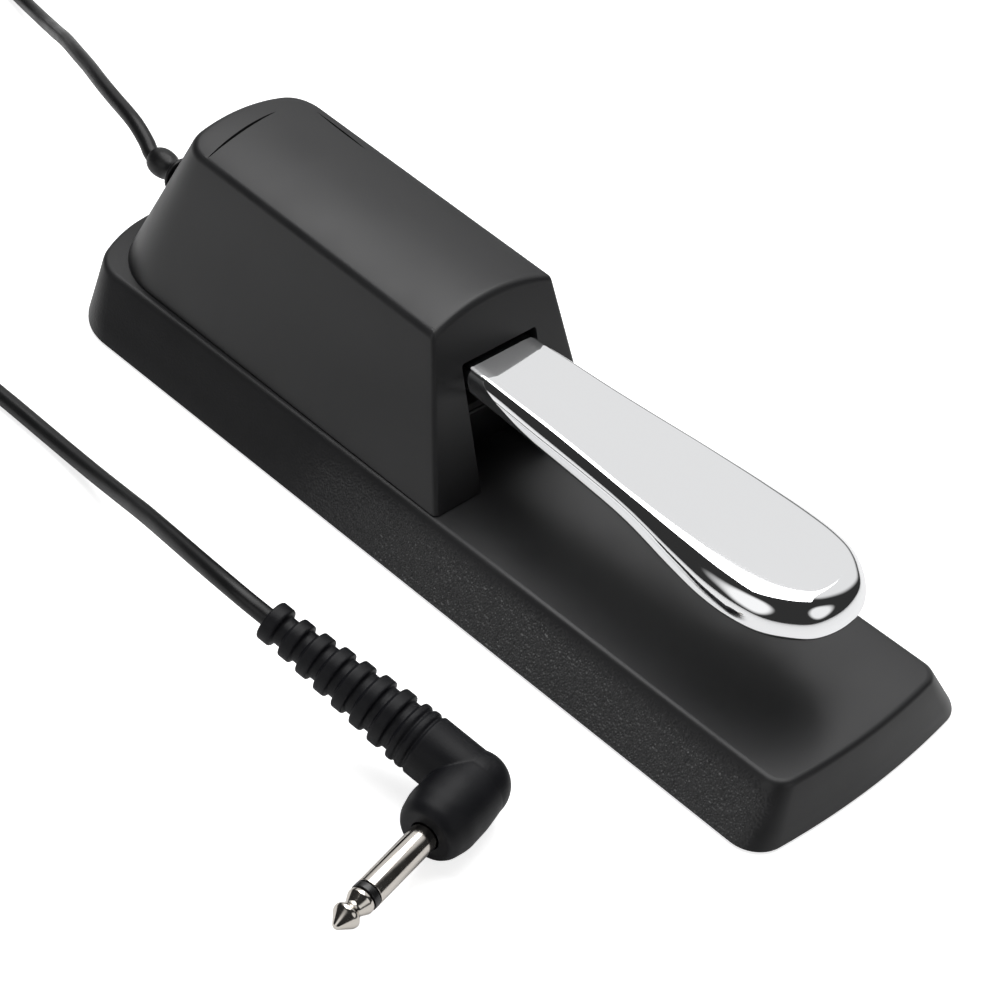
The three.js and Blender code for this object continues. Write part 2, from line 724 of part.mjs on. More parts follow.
// ---------------------------------------------------------------- cord and plug
const cordRear = [
  [0, 112.5, 29], [0, 118, 29], [0, 123.2, 29], [1.2, 127.6, 30.6], [2.4, 133.2, 32.3],
  [3.6, 138.4, 32.6], [5.3, 144.6, 32.1], [7.6, 152, 31.2], [10.6, 160.2, 29.8], [14.4, 169.3, 27.6],
  [19.2, 181, 24.4], [25, 193.6, 20], [31, 207, 14.6], [37, 221, 9.4], [42, 235, 5.6],
  [45.8, 248, 3.2], [48.2, 261, 2.4], [49.6, 274, 2.3], [50.2, 286, 2.3],
];
const cordPlug = [
  [-15, 290.6, 5.2], [-15.4, 279, 3], [-18.4, 263, 2.3], [-25.6, 245, 2.3], [-35.6, 227, 2.3],
  [-46.4, 208, 2.3], [-56.2, 188, 2.3], [-63.6, 166, 2.3], [-67.8, 140, 2.3], [-69.2, 114, 2.3],
  [-69.1, 88, 2.3], [-69.3, 72, 2.6], [-70.6, 57, 4.6], [-73, 43.4, 8.4], [-76.2, 29.6, 13.4],
  [-79.6, 16.4, 18.2], [-82.4, 3.4, 22], [-83.7, -7.4, 23.8], [-83.4, -15, 23.4], [-82.6, -19.3, 22.4],
];
const coil = { x: 18.75, y: 303.2, z: 4.4, radius: 25, halfWide: 8.8, halfHigh: 4.3, corner: 2 };

// The coiled middle of the cord, as the space its turns fill.
function cordCoil() {
  const { radius, halfWide: w, halfHigh: h, corner: c } = coil;
  const section = [[w, c - h], [w, h - c], [w - c, h], [c - w, h], [-w, h - c], [-w, c - h],
    [c - w, -h], [w - c, -h], [w, c - h]];
  return turned(section.map(([x, z]) => [radius + x, z]), "z", coil.x, coil.y, coil.z, 32);
}

// Plug parts are made around the elbow, boot toward +Y and jack toward -X.
const plug = {
  elbow: new THREE.Vector3(-72.1, -73.8, 9),
  heading: THREE.MathUtils.degToRad(10.9),
  pitch: THREE.MathUtils.degToRad(13.6),
  roll: THREE.MathUtils.degToRad(1.3),
  bodyRadius: 7.1,
  headRadius: 8.3,
  bootEnd: 56,
  shoulder: 17.4,             // from the elbow to the face the jack stands out of
  sleeveRadius: 3.175,
  ringAt: 36.1,
  tipAt: 47,
};

function placePlug(body) {
  const m = new THREE.Matrix4().makeRotationZ(plug.heading)
    .multiply(new THREE.Matrix4().makeRotationX(plug.pitch))
    .multiply(new THREE.Matrix4().makeRotationY(-plug.roll));
  m.setPosition(plug.elbow);
  return body.transform(m.elements);
}

// Turned about the jack's axis; each profile point is [radius, distance from the elbow].
function jackTurned(profile, sides = 18) {
  return turned(profile, "y", 0, 0, 0, sides).rotate([0, 0, 90]);
}

// The smooth body, two fine rings, six ribs that shrink toward the cord, and an end flange.
function bootProfile() {
  const r = plug.bodyRadius;
  const profile = [[0, 0], [r, 0], [r, 13.6]];
  for (let i = 0; i < 2; i++) {
    const y = 13.6 + 2.5 * i;
    profile.push([r - 0.6, y + 0.3], [r - 0.6, y + 0.8], [r - 0.1, y + 1.1], [r - 0.1, y + 2.4]);
  }
  for (let i = 0; i < 6; i++) {
    const y = 18.6 + 5.25 * i;
    const rib = 6.8 - 0.4 * i;
    profile.push([rib - 1, y + 0.3], [rib - 1, y + 2.1], [rib, y + 2.3], [rib, y + 5.1]);
  }
  profile.push([3.6, 50.3], [3.6, 52.5], [4.7, 52.8], [4.7, 55.5], [4.2, plug.bootEnd]);
  return profile;
}

function plugBody() {
  const bore = cordRadius + 0.35;
  const profile = [...bootProfile(), [bore, plug.bootEnd], [bore, 20], [0, 18]];
  const boot = turned(profile, "y", 0, 0, 0, 18);
  const r = plug.headRadius;
  const face = plug.shoulder;
  const head = jackTurned([[0, 0], [r - 0.8, 0], [r - 0.1, 6], [r, face - 5.4], [r - 0.9, face - 1.6],
    [r - 1.8, face - 0.3], [r - 2.3, face], [0, face]], 22);
  const corner = toSolid(new THREE.SphereGeometry(r - 0.85, 20, 12));
  const socket = join(
    rod(2.3, -face - 1, -2, "x", 0, 0, 0, 16),
    rod(plug.sleeveRadius + gap, -face - 1, -face + 2.2, "x", 0, 0, 0, 18),
  );
  return placePlug(cut(join(boot, head, corner), socket));
}

function plugSleeve() {
  const { sleeveRadius: r, shoulder, ringAt } = plug;
  return placePlug(jackTurned([[0, 4], [2, 4], [2, shoulder - 1.9], [r, shoulder - 1.9],
    [r, ringAt - gap], [1.8, ringAt - gap], [1.8, ringAt - 1.3], [0, ringAt - 1.3]]));
}

function plugInsulator() {
  const { sleeveRadius: r, ringAt } = plug;
  const end = ringAt + 1.6;
  return placePlug(jackTurned([[1.8, ringAt], [r, ringAt], [r, end], [1.8, end], [1.8, ringAt]]));
}

function plugTip() {
  const start = plug.ringAt + 1.9;
  const end = plug.tipAt;
  return placePlug(jackTurned([[0, plug.ringAt - 1], [1.4, plug.ringAt - 1], [1.4, start], [3.05, start],
    [3.1, start + 0.9], [2.1, end - 6.1], [2.1, end - 5.4], [3.1, end - 4.1], [2.95, end - 3.3],
    [0.7, end - 0.2], [0, end]]));
}

// ---------------------------------------------------------------- assembly
function sustainPedal() {
  const part = new THREE.Group();
  part.name = "sustain_pedal";
  part.add(
    node("rubber_mat", rubberMat(), rubber),
    node("weight_plate", weightPlate(), steel),
    node("base_shell", baseShell(), blackAbs),
    node("housing_cover", housingCover(), blackAbs),
    node("pedal_lever", pedalLever(), chrome),
    node("pivot_bracket", pivotBracket(), steel),
    node("pivot_shaft", pivotShaft(), steel),
    node("pivot_bush_right", pivotBush(1), nylon),
    node("pivot_bush_left", pivotBush(-1), nylon),
    node("retaining_clip_right", retainingClip(1), steel),
    node("retaining_clip_left", retainingClip(-1), steel),
    node("return_spring", returnSpring(), steel),
    node("spring_cup", springCup(), nylon),
    node("upper_stop", upperStop(), rubber),
    node("lower_stop", lowerStop(), rubber),
    node("switch_body", switchBody(), blackAbs),
    node("switch_plunger", switchPlunger(), redJacket),
    node("switch_arm", switchArm(), brass),
    node("cable_clamp", cableClamp(), nylon),
    node("strain_relief", strainRelief(), rubber),
    node("inner_cable", tube(innerCable, cordRadius, 22, 8), cordJacket),
    node("lead_signal", tube(leads.lead_signal, 0.6, 12, 6), redJacket),
    node("lead_ground", tube(leads.lead_ground, 0.6, 12, 6), cordJacket),
    node("cord_rear", tube(cordRear, cordRadius, 44, 8), cordJacket),
    node("cord_coil", cordCoil(), cordJacket),
    node("cord_plug", tube(cordPlug, cordRadius, 44, 8), cordJacket),
    node("plug_body", plugBody(), rubber),
    node("plug_sleeve", plugSleeve(), nickel),
    node("plug_insulator", plugInsulator(), blackAbs),
    node("plug_tip", plugTip(), nickel),
    ...allScrews(),
  );
  return part;
}

export default sustainPedal();
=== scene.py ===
"""Looks of a piano-style sustain pedal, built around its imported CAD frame.

Numbers below are millimetres in the frame's axes: +Z up, the pedal's tip toward
-Y, the floor at z = 0. MM turns them into Blender's metres.
"""
import json
import math

import bmesh
import bpy
import numpy as np
from mathutils import Matrix, Vector, geometry


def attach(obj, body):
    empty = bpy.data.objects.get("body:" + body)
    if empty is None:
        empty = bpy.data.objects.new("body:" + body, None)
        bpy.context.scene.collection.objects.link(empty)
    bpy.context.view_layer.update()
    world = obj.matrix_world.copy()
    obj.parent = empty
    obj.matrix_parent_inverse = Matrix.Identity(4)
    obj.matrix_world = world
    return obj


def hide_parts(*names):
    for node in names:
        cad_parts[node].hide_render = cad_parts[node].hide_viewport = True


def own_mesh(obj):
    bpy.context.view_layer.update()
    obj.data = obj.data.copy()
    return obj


MM = 0.001
GAP = 0.3                     # clearance between touching pieces
ON_AXIS = 1e-6                # a smaller radius is a point on the axis
QUARTER_TURN = Matrix.Rotation(math.radians(90), 4, "Z")

# ---- driving dimensions
LENGTH = 248
WIDTH = 72
SKIRT_BOTTOM = 0.6
DECK = 14
WALL = 2.4

BASE_FLOOR = dict(front_half=WIDTH / 2, rear_half=WIDTH / 2, front=-LENGTH / 2, front_bow=2.7,
                  front_radius=8, rear=LENGTH / 2, rear_bow=18, rear_radius=19.5)
BASE_DECK = dict(front_half=26.9, rear_half=27.1, front=4.2 - LENGTH / 2, front_bow=2,
                 front_radius=5, rear=LENGTH / 2 - 3, rear_bow=9.7, rear_radius=12.7)
HOUSING_FOOT = dict(front_half=26.2, rear_half=25, front=-12.6, front_bow=0,
                    front_radius=1.4, rear=117, rear_bow=1.5, rear_radius=23.5)
HOUSING_TOP = dict(front_half=18.35, rear_half=19.1, front=1.8, front_bow=0,
                   front_radius=1, rear=91.3, rear_bow=3, rear_radius=8.4)
HOUSING_FOOT_Z = DECK + GAP
HOUSING_TOP_Z = 58
ROOF = dict(edge=54.9, slope=0.041, crown=3.15, half=18.9)
SLOT = dict(half_top=11.9, half_bottom=11.5, top=45.4)
# The two fine slits on the roof: their ends in plan, and the widest half width.
ROOF_SLITS = [((-18.6, 80.2), (5.6, 83.2), 0.5), ((15.9, 79.6), (15.1, 61), 0.42)]

LEVER_TOP = 44.2
LEVER_TAIL = 82
TAIL_CHAMFER = 4
LEVER_RIB = 24.5
REAR_HALF = 11.2
REAR_DEPTH = 10
NECK_DEPTH = 6.2
TIP_DEPTH = 8.8
# Where along the lever its section changes: behind the neck, in the neck and in the paddle.
SLIMMING = (20, 8)
NECK = (-12, -30)
PADDLE = (-50, -88)
# How far the rounded upper edge reaches in and down: at the rear, and what neck and tip add.
EDGE_REACH = dict(rear=2.2, neck=0.5, tip=3.1)
EDGE_FALL = dict(rear=3.6, neck=0.6, tip=3)
LOWER_EDGE = 1.4
POCKET_WALL = 3
POCKET_CEILING = LEVER_TOP - 3.4
LEVER_PLAN = [(11.2, 4), (11.5, -8), (12.6, -26), (13.7, -42), (15, -57), (16.8, -71), (17.8, -82),
              (17.5, -90.5), (15.9, -97), (12.4, -102.3), (7.8, -106), (0, -107.6)]
PIVOT = dict(y=66, z=38.4, bore=4.3)
STOP = dict(y=3.4, top=28.05, pad=2)
SPRING = dict(y=15, radius=5.6, wire=1.5, turns=6, bottom=17.5, top=40.3)

CORD_RADIUS = 2.1
EXIT_HEIGHT = 29
CORD_REAR = [
    (0, 112.5, 29), (0, 118, 29), (0, 123.2, 29), (1.2, 127.6, 30.6), (2.4, 133.2, 32.3),
    (3.6, 138.4, 32.6), (5.3, 144.6, 32.1), (7.6, 152, 31.2), (10.6, 160.2, 29.8), (14.4, 169.3, 27.6),
    (19.2, 181, 24.4), (25, 193.6, 20), (31, 207, 14.6), (37, 221, 9.4), (42, 235, 5.6),
    (45.8, 248, 3.2), (48.2, 261, 2.4), (49.6, 274, 2.3), (50.2, 286, 2.3),
]
CORD_PLUG = [
    (-15, 290.6, 5.2), (-15.4, 279, 3), (-18.4, 263, 2.3), (-25.6, 245, 2.3), (-35.6, 227, 2.3),
    (-46.4, 208, 2.3), (-56.2, 188, 2.3), (-63.6, 166, 2.3), (-67.8, 140, 2.3), (-69.2, 114, 2.3),
    (-69.1, 88, 2.3), (-69.3, 72, 2.6), (-70.6, 57, 4.6), (-73, 43.4, 8.4), (-76.2, 29.6, 13.4),
    (-79.6, 16.4, 18.2), (-82.4, 3.4, 22), (-83.7, -7.4, 23.8), (-83.4, -15, 23.4), (-82.6, -19.3, 22.4),
]
CORD_IN_BOOT = 3              # how far the cord goes on into the plug's boot
CORD_HOLE = CORD_RADIUS + 0.12
COIL = dict(x=18.75, y=303.2, radius=25, turns=7.5)
TIE = dict(half_width=9.05, low=0.35, high=9.1, corner=2.3, thick=0.5, band=6)

PLUG = dict(elbow=(-72.1, -73.8, 9), heading=10.9, pitch=13.6, roll=1.3, body_radius=7.1,
            head_radius=8.3, boot_end=56, shoulder=17.4, sleeve_radius=3.175, ring_at=36.1,
            tip_at=47)

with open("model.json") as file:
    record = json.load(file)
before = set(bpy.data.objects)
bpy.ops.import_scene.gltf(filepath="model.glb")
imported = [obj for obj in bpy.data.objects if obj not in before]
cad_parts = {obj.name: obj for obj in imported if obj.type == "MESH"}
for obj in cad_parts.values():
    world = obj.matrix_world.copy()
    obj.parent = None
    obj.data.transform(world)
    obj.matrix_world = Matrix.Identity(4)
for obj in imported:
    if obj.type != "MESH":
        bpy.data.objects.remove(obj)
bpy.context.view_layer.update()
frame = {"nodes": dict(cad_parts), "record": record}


# ---- mesh helpers
def ramp(at, start, end):
    """Rises evenly from 0 to 1 as at goes from start to end, either way."""
    return min(max((at - start) / (end - start), 0), 1)


def ease(at, start, end):
    """Rises smoothly from 0 to 1 as at goes from start to end, either way."""
    t = ramp(at, start, end)
    return t * t * (3 - 2 * t)


def add_mesh(name, points, faces):
    """A mesh object from points in millimetres, with its faces turned outward."""
    mesh = bpy.data.meshes.new(name)
    mesh.from_pydata([tuple(MM * float(c) for c in p) for p in points], [], faces)
    mesh.update()
    face_outward(mesh)
    added = bpy.data.objects.new(name, mesh)
    bpy.context.scene.collection.objects.link(added)
    return added


def new_piece(name, points, faces, material, body="base", sharp=30):
    """A visible piece that rides on a body, shaded smooth up to the sharp angle."""
    piece = add_mesh(name, points, faces)
    piece.data.materials.append(material)
    shade(piece.data, sharp)
    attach(piece, body)
    return piece


def face_outward(mesh):
    work = bmesh.new()
    work.from_mesh(mesh)
    bmesh.ops.recalc_face_normals(work, faces=work.faces)
    work.to_mesh(mesh)
    work.free()


def shade(mesh, sharp):
    mesh.shade_smooth()
    mesh.set_sharp_from_angle(angle=math.radians(sharp))


def loft_faces(rows, count):
    """Quads between closed rows of points that each hold count points."""
    faces = []
    for i in range(rows - 1):
        a, b = i * count, (i + 1) * count
        for j in range(count):
            k = (j + 1) % count
            faces.append((a + j, a + k, b + k, b + j))
    return faces


def loft(rings, cap_last=True):
    """Points and faces of a body through rings of equal count, with flat caps."""
    count = len(rings[0])
    faces = loft_faces(len(rings), count)
    faces.append(tuple(range(count))[::-1])
    if cap_last:
        last = (len(rings) - 1) * count
        faces.append(tuple(range(last, last + count)))
    return np.vstack(rings), faces


def turn(profile, sides=72):
    """A body turned about +Y from (radius, distance along Y) pairs; ends may lie on the axis."""
    points, faces, rows = [], [], []
    for r, y in profile:
        if r < ON_AXIS:
            rows.append([len(points)] * sides)
            points.append((0, y, 0))
            continue
        rows.append(list(range(len(points), len(points) + sides)))
        for i in range(sides):
            a = 2 * math.pi * i / sides
            points.append((r * math.sin(a), y, r * math.cos(a)))
    pairs = list(zip(rows, rows[1:]))
    if rows[0][0] != rows[0][1] and rows[-1][0] != rows[-1][1]:
        pairs.append((rows[-1], rows[0]))
    for low, high in pairs:
        for i in range(sides):
            k = (i + 1) % sides
            add_face(faces, low[i], low[k], high[k], high[i])
    return np.array(points, float), faces


def add_face(faces, *corners):
    """Adds a face without its repeated corners, or nothing if fewer than three are left."""
    unique = [v for n, v in enumerate(corners) if v != corners[n - 1]]
    if len(unique) > 2:
        faces.append(tuple(unique))


def rounded(profile, radius, steps=4):
    """The same profile with each corner but the first and last rounded by a small curve."""
    points = [np.array(p, float) for p in profile]
    out = [points[0]]
    for before, corner, after in zip(points, points[1:], points[2:]):
        back, ahead = before - corner, after - corner
        back_length, ahead_length = np.linalg.norm(back), np.linalg.norm(ahead)
        r = min(radius, 0.45 * back_length, 0.45 * ahead_length)
        a = corner + back / back_length * r
        b = corner + ahead / ahead_length * r
        out += [bezier(a, corner, b, i / steps) for i in range(steps + 1)]
    out.append(points[-1])
    return out


def bezier(a, corner, b, t):
    return (1 - t) ** 2 * a + 2 * t * (1 - t) * corner + t * t * b


def moved(points, matrix):
    """Points through a 4x4 matrix, both in millimetres."""
    m = np.array(matrix)
    return np.asarray(points, float) @ m[:3, :3].T + m[:3, 3]


def round_rectangle(half_x, half_y, corner, shrink=0.0, steps=3):
    """Points round a rectangle about the origin, with its corners rounded and then shrunk."""
    points = []
    for sx, sy, start in ((1, 1, 0), (-1, 1, 90), (-1, -1, 180), (1, -1, 270)):
        for i in range(steps + 1):
            a = math.radians(start + 90 * i / steps)
            x = sx * (half_x - corner) + (corner - shrink) * math.cos(a)
            y = sy * (half_y - corner) + (corner - shrink) * math.sin(a)
            points.append((x, y))
    return np.array(points)


def soft_box(size, centre, radius=0.6):
    """A box with rounded vertical edges and rounded top and bottom rims."""
    w, l, h = (s / 2 for s in size)
    steps = 3

    def ring(shrink, z):
        plan = round_rectangle(w, l, radius, shrink, steps)
        return at_height(plan + np.array(centre[:2]), centre[2] + z)

    rise = [(radius * 0.9 * (1 - math.cos(a)), radius * math.sin(a))
            for a in (math.pi / 2 * i / steps for i in range(steps + 1))]
    low = [ring(shrink, -h + radius - up) for shrink, up in reversed(rise)]
    high = [ring(shrink, h - radius + up) for shrink, up in rise]
    return loft(low + high)


def merged(*bodies):
    """Several (points, faces) bodies as one."""
    points, faces = [], []
    for p, f in bodies:
        start = sum(len(q) for q in points)
        points.append(np.asarray(p, float))
        faces += [tuple(start + i for i in face) for face in f]
    return np.vstack(points), faces


def apply_modifiers(piece):
    """Bakes the piece's modifiers into its mesh."""
    bpy.context.view_layer.update()
    graph = bpy.context.evaluated_depsgraph_get()
    old = piece.data
    piece.data = bpy.data.meshes.new_from_object(piece.evaluated_get(graph))
    piece.modifiers.clear()
    bpy.data.meshes.remove(old)


def combine(piece, bodies, operation="DIFFERENCE", sharp=30):
    """Cuts (points, faces) bodies away from the piece, or joins them to it."""
    for points, faces in bodies:
        other = add_mesh("tool", points, faces)
        step = piece.modifiers.new("cut", "BOOLEAN")
        step.operation = operation
        step.solver = "EXACT"
        step.object = other
        apply_modifiers(piece)
        bpy.data.objects.remove(other)
    shade(piece.data, sharp)


# ---- plan outlines
def mix(a, b, t):
    """The outline at share t of the way from outline a to outline b."""
    return {key: a[key] + (b[key] - a[key]) * t for key in a}


def inset(o, d):
    """The same outline moved inward by d."""
    return dict(o, front_half=o["front_half"] - d, rear_half=o["rear_half"] - d,
                front=o["front"] + d, rear=o["rear"] - d,
                front_radius=max(o["front_radius"] - d, 0.4), rear_radius=max(o["rear_radius"] - d, 0.4))


def end_curve(half, y, bow, radius, inward, steps):
    """Right half of one bowed end, from its middle out to where the straight side starts."""
    x = half - radius
    for _ in range(20):                         # settles on where the bow meets the corner's arc
        slope = 2 * bow * x / half ** 2
        x = half - radius + slope * radius / math.hypot(1, slope)
    slope = 2 * bow * x / half ** 2
    norm = math.hypot(1, slope)
    centre = y + inward * (bow * (x / half) ** 2 + radius / norm)
    points = [(x * i / steps, y + inward * bow * (x * i / steps / half) ** 2) for i in range(steps)]
    start = math.atan2(-1 / norm, slope / norm)
    for i in range(steps + 1):
        a = start * (1 - i / steps)
        points.append((half - radius + radius * math.cos(a), centre + inward * radius * math.sin(a)))
    return points


def outline(o, steps=14, along=36):
    """The closed plan outline as an array of x and y, from the middle of the front round to the left."""
    front = end_curve(o["front_half"], o["front"], o["front_bow"], o["front_radius"], 1, steps)
    rear = end_curve(o["rear_half"], o["rear"], o["rear_bow"], o["rear_radius"], -1, steps)[::-1]
    a, b = np.array(front[-1]), np.array(rear[0])
    side = [tuple(a + (b - a) * i / along) for i in range(1, along)]
    right = front + side + rear
    left = [(-x, y) for x, y in right[1:-1][::-1]]
    return np.array(right + left)


def at_height(xy, z):
    """Plan points with a height each, or one for all."""
    return np.column_stack([xy, np.broadcast_to(z, len(xy))])


# ---- materials
def principled(name, color, roughness, metallic=0.0, specular=0.5):
    material = bpy.data.materials.new(name)
    material.use_nodes = True
    shader = shader_of(material)
    shader.inputs["Base Color"].default_value = (*color, 1)
    shader.inputs["Roughness"].default_value = roughness
    shader.inputs["Metallic"].default_value = metallic
    shader.inputs["Specular IOR Level"].default_value = specular
    return material


def shader_of(material):
    return material.node_tree.nodes["Principled BSDF"]


def add_node(material, kind, **values):
    node = material.node_tree.nodes.new(kind)
    for key, value in values.items():
        if key in node.inputs:
            node.inputs[key].default_value = value
        else:
            setattr(node, key, value)
    return node


def link(material, source, target):
    material.node_tree.links.new(source, target)


def own_space(material):
    return add_node(material, "ShaderNodeTexCoord").outputs["Object"]


def noise(material, scale, detail, stretch=None):
    """Noise in the piece's own space; scale is in features per metre."""
    node = add_node(material, "ShaderNodeTexNoise", Scale=scale, Detail=detail)
    source = own_space(material)
    if stretch:
        mapping = add_node(material, "ShaderNodeMapping")
        mapping.inputs["Scale"].default_value = stretch
        link(material, source, mapping.inputs["Vector"])
        source = mapping.outputs["Vector"]
    link(material, source, node.inputs["Vector"])
    return node.outputs["Fac"]


def pebbles(material, scale):
    """Soft round cells; scale is in cells per metre."""
    node = add_node(material, "ShaderNodeTexVoronoi", feature="SMOOTH_F1", Scale=scale, Smoothness=0.6)
    link(material, own_space(material), node.inputs["Vector"])
    return node.outputs["Distance"]


def math_node(material, operation, a, b):
    node = add_node(material, "ShaderNodeMath", operation=operation)
    for socket, value in zip(node.inputs, (a, b)):
        if isinstance(value, (int, float)):
            socket.default_value = value
        else:
            link(material, value, socket)
    return node.outputs[0]


def span(material, source, low, high, from_low=0.3, from_high=0.7):
    """The source stretched to run from low to high."""
    node = add_node(material, "ShaderNodeMapRange")
    node.inputs["From Min"].default_value = from_low
    node.inputs["From Max"].default_value = from_high
    node.inputs["To Min"].default_value = low
    node.inputs["To Max"].default_value = high
    link(material, source, node.inputs["Value"])
    return node.outputs["Result"]


def roughen(material, source, low, high):
    """Roughness between low and high, after the source."""
    link(material, span(material, source, low, high), shader_of(material).inputs["Roughness"])


def tint(material, source, dark, light, low=0.3, high=0.7):
    """Colour from dark to light as the source goes from low to high."""
    node = add_node(material, "ShaderNodeMix", data_type="RGBA")
    node.inputs["A"].default_value = (*dark, 1)
    node.inputs["B"].default_value = (*light, 1)
    link(material, span(material, source, 0, 1, low, high), node.inputs["Factor"])
    link(material, node.outputs["Result"], shader_of(material).inputs["Base Color"])


def relief(material, height, depth):
    """Adds bump of the given depth in millimetres, on top of any bump already there."""
    bump = add_node(material, "ShaderNodeBump", Strength=1.0, Distance=depth * MM)
    link(material, height, bump.inputs["Height"])
    normal = shader_of(material).inputs["Normal"]
    if normal.is_linked:
        link(material, normal.links[0].from_socket, bump.inputs["Normal"])
    link(material, bump.outputs["Normal"], normal)


def moulded_abs(name, grained_with_sheen=False):
    """Black ABS; the pebbled kind has pebbles and a paler painted sheen where its mask attribute is 1.
    """
    material = principled(name, (0.0135, 0.0135, 0.0145), 0.4, specular=0.4)
    cloud = noise(material, 55, 3)
    roughen(material, cloud, 0.36, 0.44)
    relief(material, noise(material, 2600, 1), 0.006)
    if not grained_with_sheen:
        tint(material, cloud, (0.012, 0.012, 0.013), (0.015, 0.015, 0.016))
        return material
    grain_and_sheen = add_node(material, "ShaderNodeAttribute", attribute_name="grain_and_sheen").outputs["Fac"]
    # Painted sheen: a paler base colour where pebbled, standing in for light scattered by the texture.
    tint(material, grain_and_sheen, (0.0135, 0.0135, 0.0145), (0.034, 0.034, 0.035), 0, 1)
    relief(material, math_node(material, "MULTIPLY", pebbles(material, 1700), grain_and_sheen), 0.8)
    return material


def chrome_plate():
    material = principled("chrome_plate", (0.93, 0.935, 0.945), 0.03, metallic=1)
    wipe = noise(material, 45, 4, stretch=(1, 0.25, 1))
    roughen(material, wipe, 0.02, 0.05)
    relief(material, noise(material, 60, 1), 0.006)
    return material


def nickel_plate():
    material = principled("nickel_plate", (0.66, 0.62, 0.57), 0.12, metallic=1)
    roughen(material, noise(material, 300, 3, stretch=(1, 0.2, 1)), 0.09, 0.18)
    relief(material, noise(material, 700, 2), 0.004)
    return material


def plated_steel(name, color, roughness):
    material = principled(name, color, roughness, metallic=1)
    brushed = noise(material, 900, 3, stretch=(1, 0.06, 1))
    roughen(material, brushed, roughness - 0.06, roughness + 0.1)
    relief(material, brushed, 0.004)
    return material


def jacket(name, color, roughness):
    material = principled(name, color, roughness, specular=0.3)
    roughen(material, noise(material, 120, 3), roughness - 0.06, roughness + 0.06)
    relief(material, noise(material, 1500, 2), 0.012)
    return material


def soft_plastic(name, color, roughness, depth=0.01, specular=0.5):
    material = principled(name, color, roughness, specular=specular)
    cloud = noise(material, 90, 3)
    roughen(material, cloud, roughness - 0.05, roughness + 0.07)
    darker = tuple(0.8 * c for c in color)
    tint(material, cloud, darker, color)
    relief(material, noise(material, 1800, 2), depth)
    return material


def rubber_sheet():
    material = principled("mat_rubber", (0.018, 0.018, 0.018), 0.8)
    roughen(material, noise(material, 200, 3), 0.7, 0.9)
    relief(material, pebbles(material, 900), 0.08)
    return material


FINISHES = {
    "black_abs": moulded_abs("abs_smooth"),
    # pebbled black ABS with a painted sheen
    "abs_grained": moulded_abs("abs_grained", grained_with_sheen=True),
    "chrome": chrome_plate(),
    "nickel": nickel_plate(),
    "steel": plated_steel("plated_steel", (0.56, 0.57, 0.58), 0.34),
    "spring_steel": plated_steel("spring_wire", (0.42, 0.43, 0.45), 0.28),
    "zinc": plated_steel("bright_zinc", (0.66, 0.67, 0.7), 0.25),
    "brass": plated_steel("rolled_brass", (0.78, 0.6, 0.28), 0.3),
    "rubber": rubber_sheet(),
    "nylon": soft_plastic("natural_nylon", (0.78, 0.76, 0.7), 0.45),
    "switch_case": soft_plastic("phenolic", (0.045, 0.045, 0.05), 0.4),
    "red_plastic": soft_plastic("red_plastic", (0.5, 0.03, 0.03), 0.35),
    "cord_jacket": jacket("pvc_jacket", (0.008, 0.008, 0.0085), 0.36),
    "plug_boot": soft_plastic("plug_pvc", (0.006, 0.0062, 0.008), 0.46, 0.02, specular=0.2),
    "plug_ring": soft_plastic("plug_ring", (0.01, 0.01, 0.01), 0.25),
}


def finish_piece(piece, slot, *stands_for):
    """Gives a piece its slot's finish if it has none, and hides the CAD nodes it stands for."""
    if not piece.data.materials:
        piece.data.materials.append(FINISHES[slot])
    if stands_for:
        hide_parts(*stands_for)
    return piece


# ---- camera, light and floor
CAMERA_AZIMUTH = math.radians(-49.44)
CAMERA_ELEVATION = math.radians(40.91)
CAMERA_ROLL = math.radians(7.59)
CAMERA_DISTANCE = 0.552
CAMERA_TARGET = Vector((-0.0144, -0.021, 0.0192))
SENSOR_WIDTH = 36
FOCAL_LENGTH = 87.33


def make_camera():
    a, e = CAMERA_AZIMUTH, CAMERA_ELEVATION
    back = Vector((math.sin(a) * math.cos(e), -math.cos(a) * math.cos(e), math.sin(e)))
    level = Vector((math.cos(a), math.sin(a), 0))
    right = level * math.cos(CAMERA_ROLL) + back.cross(level) * math.sin(CAMERA_ROLL)
    up = back.cross(right)
    data = bpy.data.cameras.new("camera")
    data.sensor_width = SENSOR_WIDTH
    data.lens = FOCAL_LENGTH
    data.clip_start = 0.01
    camera = bpy.data.objects.new("camera", data)
    turn_to = Matrix((right, up, back)).transposed().to_4x4()
    camera.matrix_world = Matrix.Translation(CAMERA_TARGET + back * CAMERA_DISTANCE) @ turn_to
    bpy.context.scene.collection.objects.link(camera)
    bpy.context.scene.camera = camera


def area_light(name, place_at, aim, size, power):
    data = bpy.data.lights.new(name, "AREA")
    data.shape = "RECTANGLE"
    data.size, data.size_y = size
    data.energy = power
    light = bpy.data.objects.new(name, data)
    light.location = place_at
    light.rotation_mode = "QUATERNION"
    light.rotation_quaternion = (Vector(aim) - Vector(place_at)).to_track_quat("-Z", "Y")
    bpy.context.scene.collection.objects.link(light)


# Soft panels round a dark room: bearing from the pedal's tip toward +X, elevation,
# the angles from the middle where each starts to fade and ends, and its brightness.
PANELS = [
    dict(bearing=98, elevation=36, full=22, end=36, light=0.8),
    dict(bearing=138, elevation=38, full=22, end=36, light=0.8),
    dict(bearing=-90, elevation=28, full=16, end=28, light=1.0),
    dict(bearing=6, elevation=30, full=14, end=24, light=0.9),
]
ROOM_LIGHT = 0.03
BACKDROP = 1.0                # what the camera sees behind the pedal
FLOOR_GLOW = 0.75             # added for the camera only, so that the paper stays white
FLOOR_HALF = 4                # metres


def panel_direction(bearing, elevation):
    b, e = math.radians(bearing), math.radians(elevation)
    return (math.sin(b) * math.cos(e), -math.cos(b) * math.cos(e), math.sin(e))


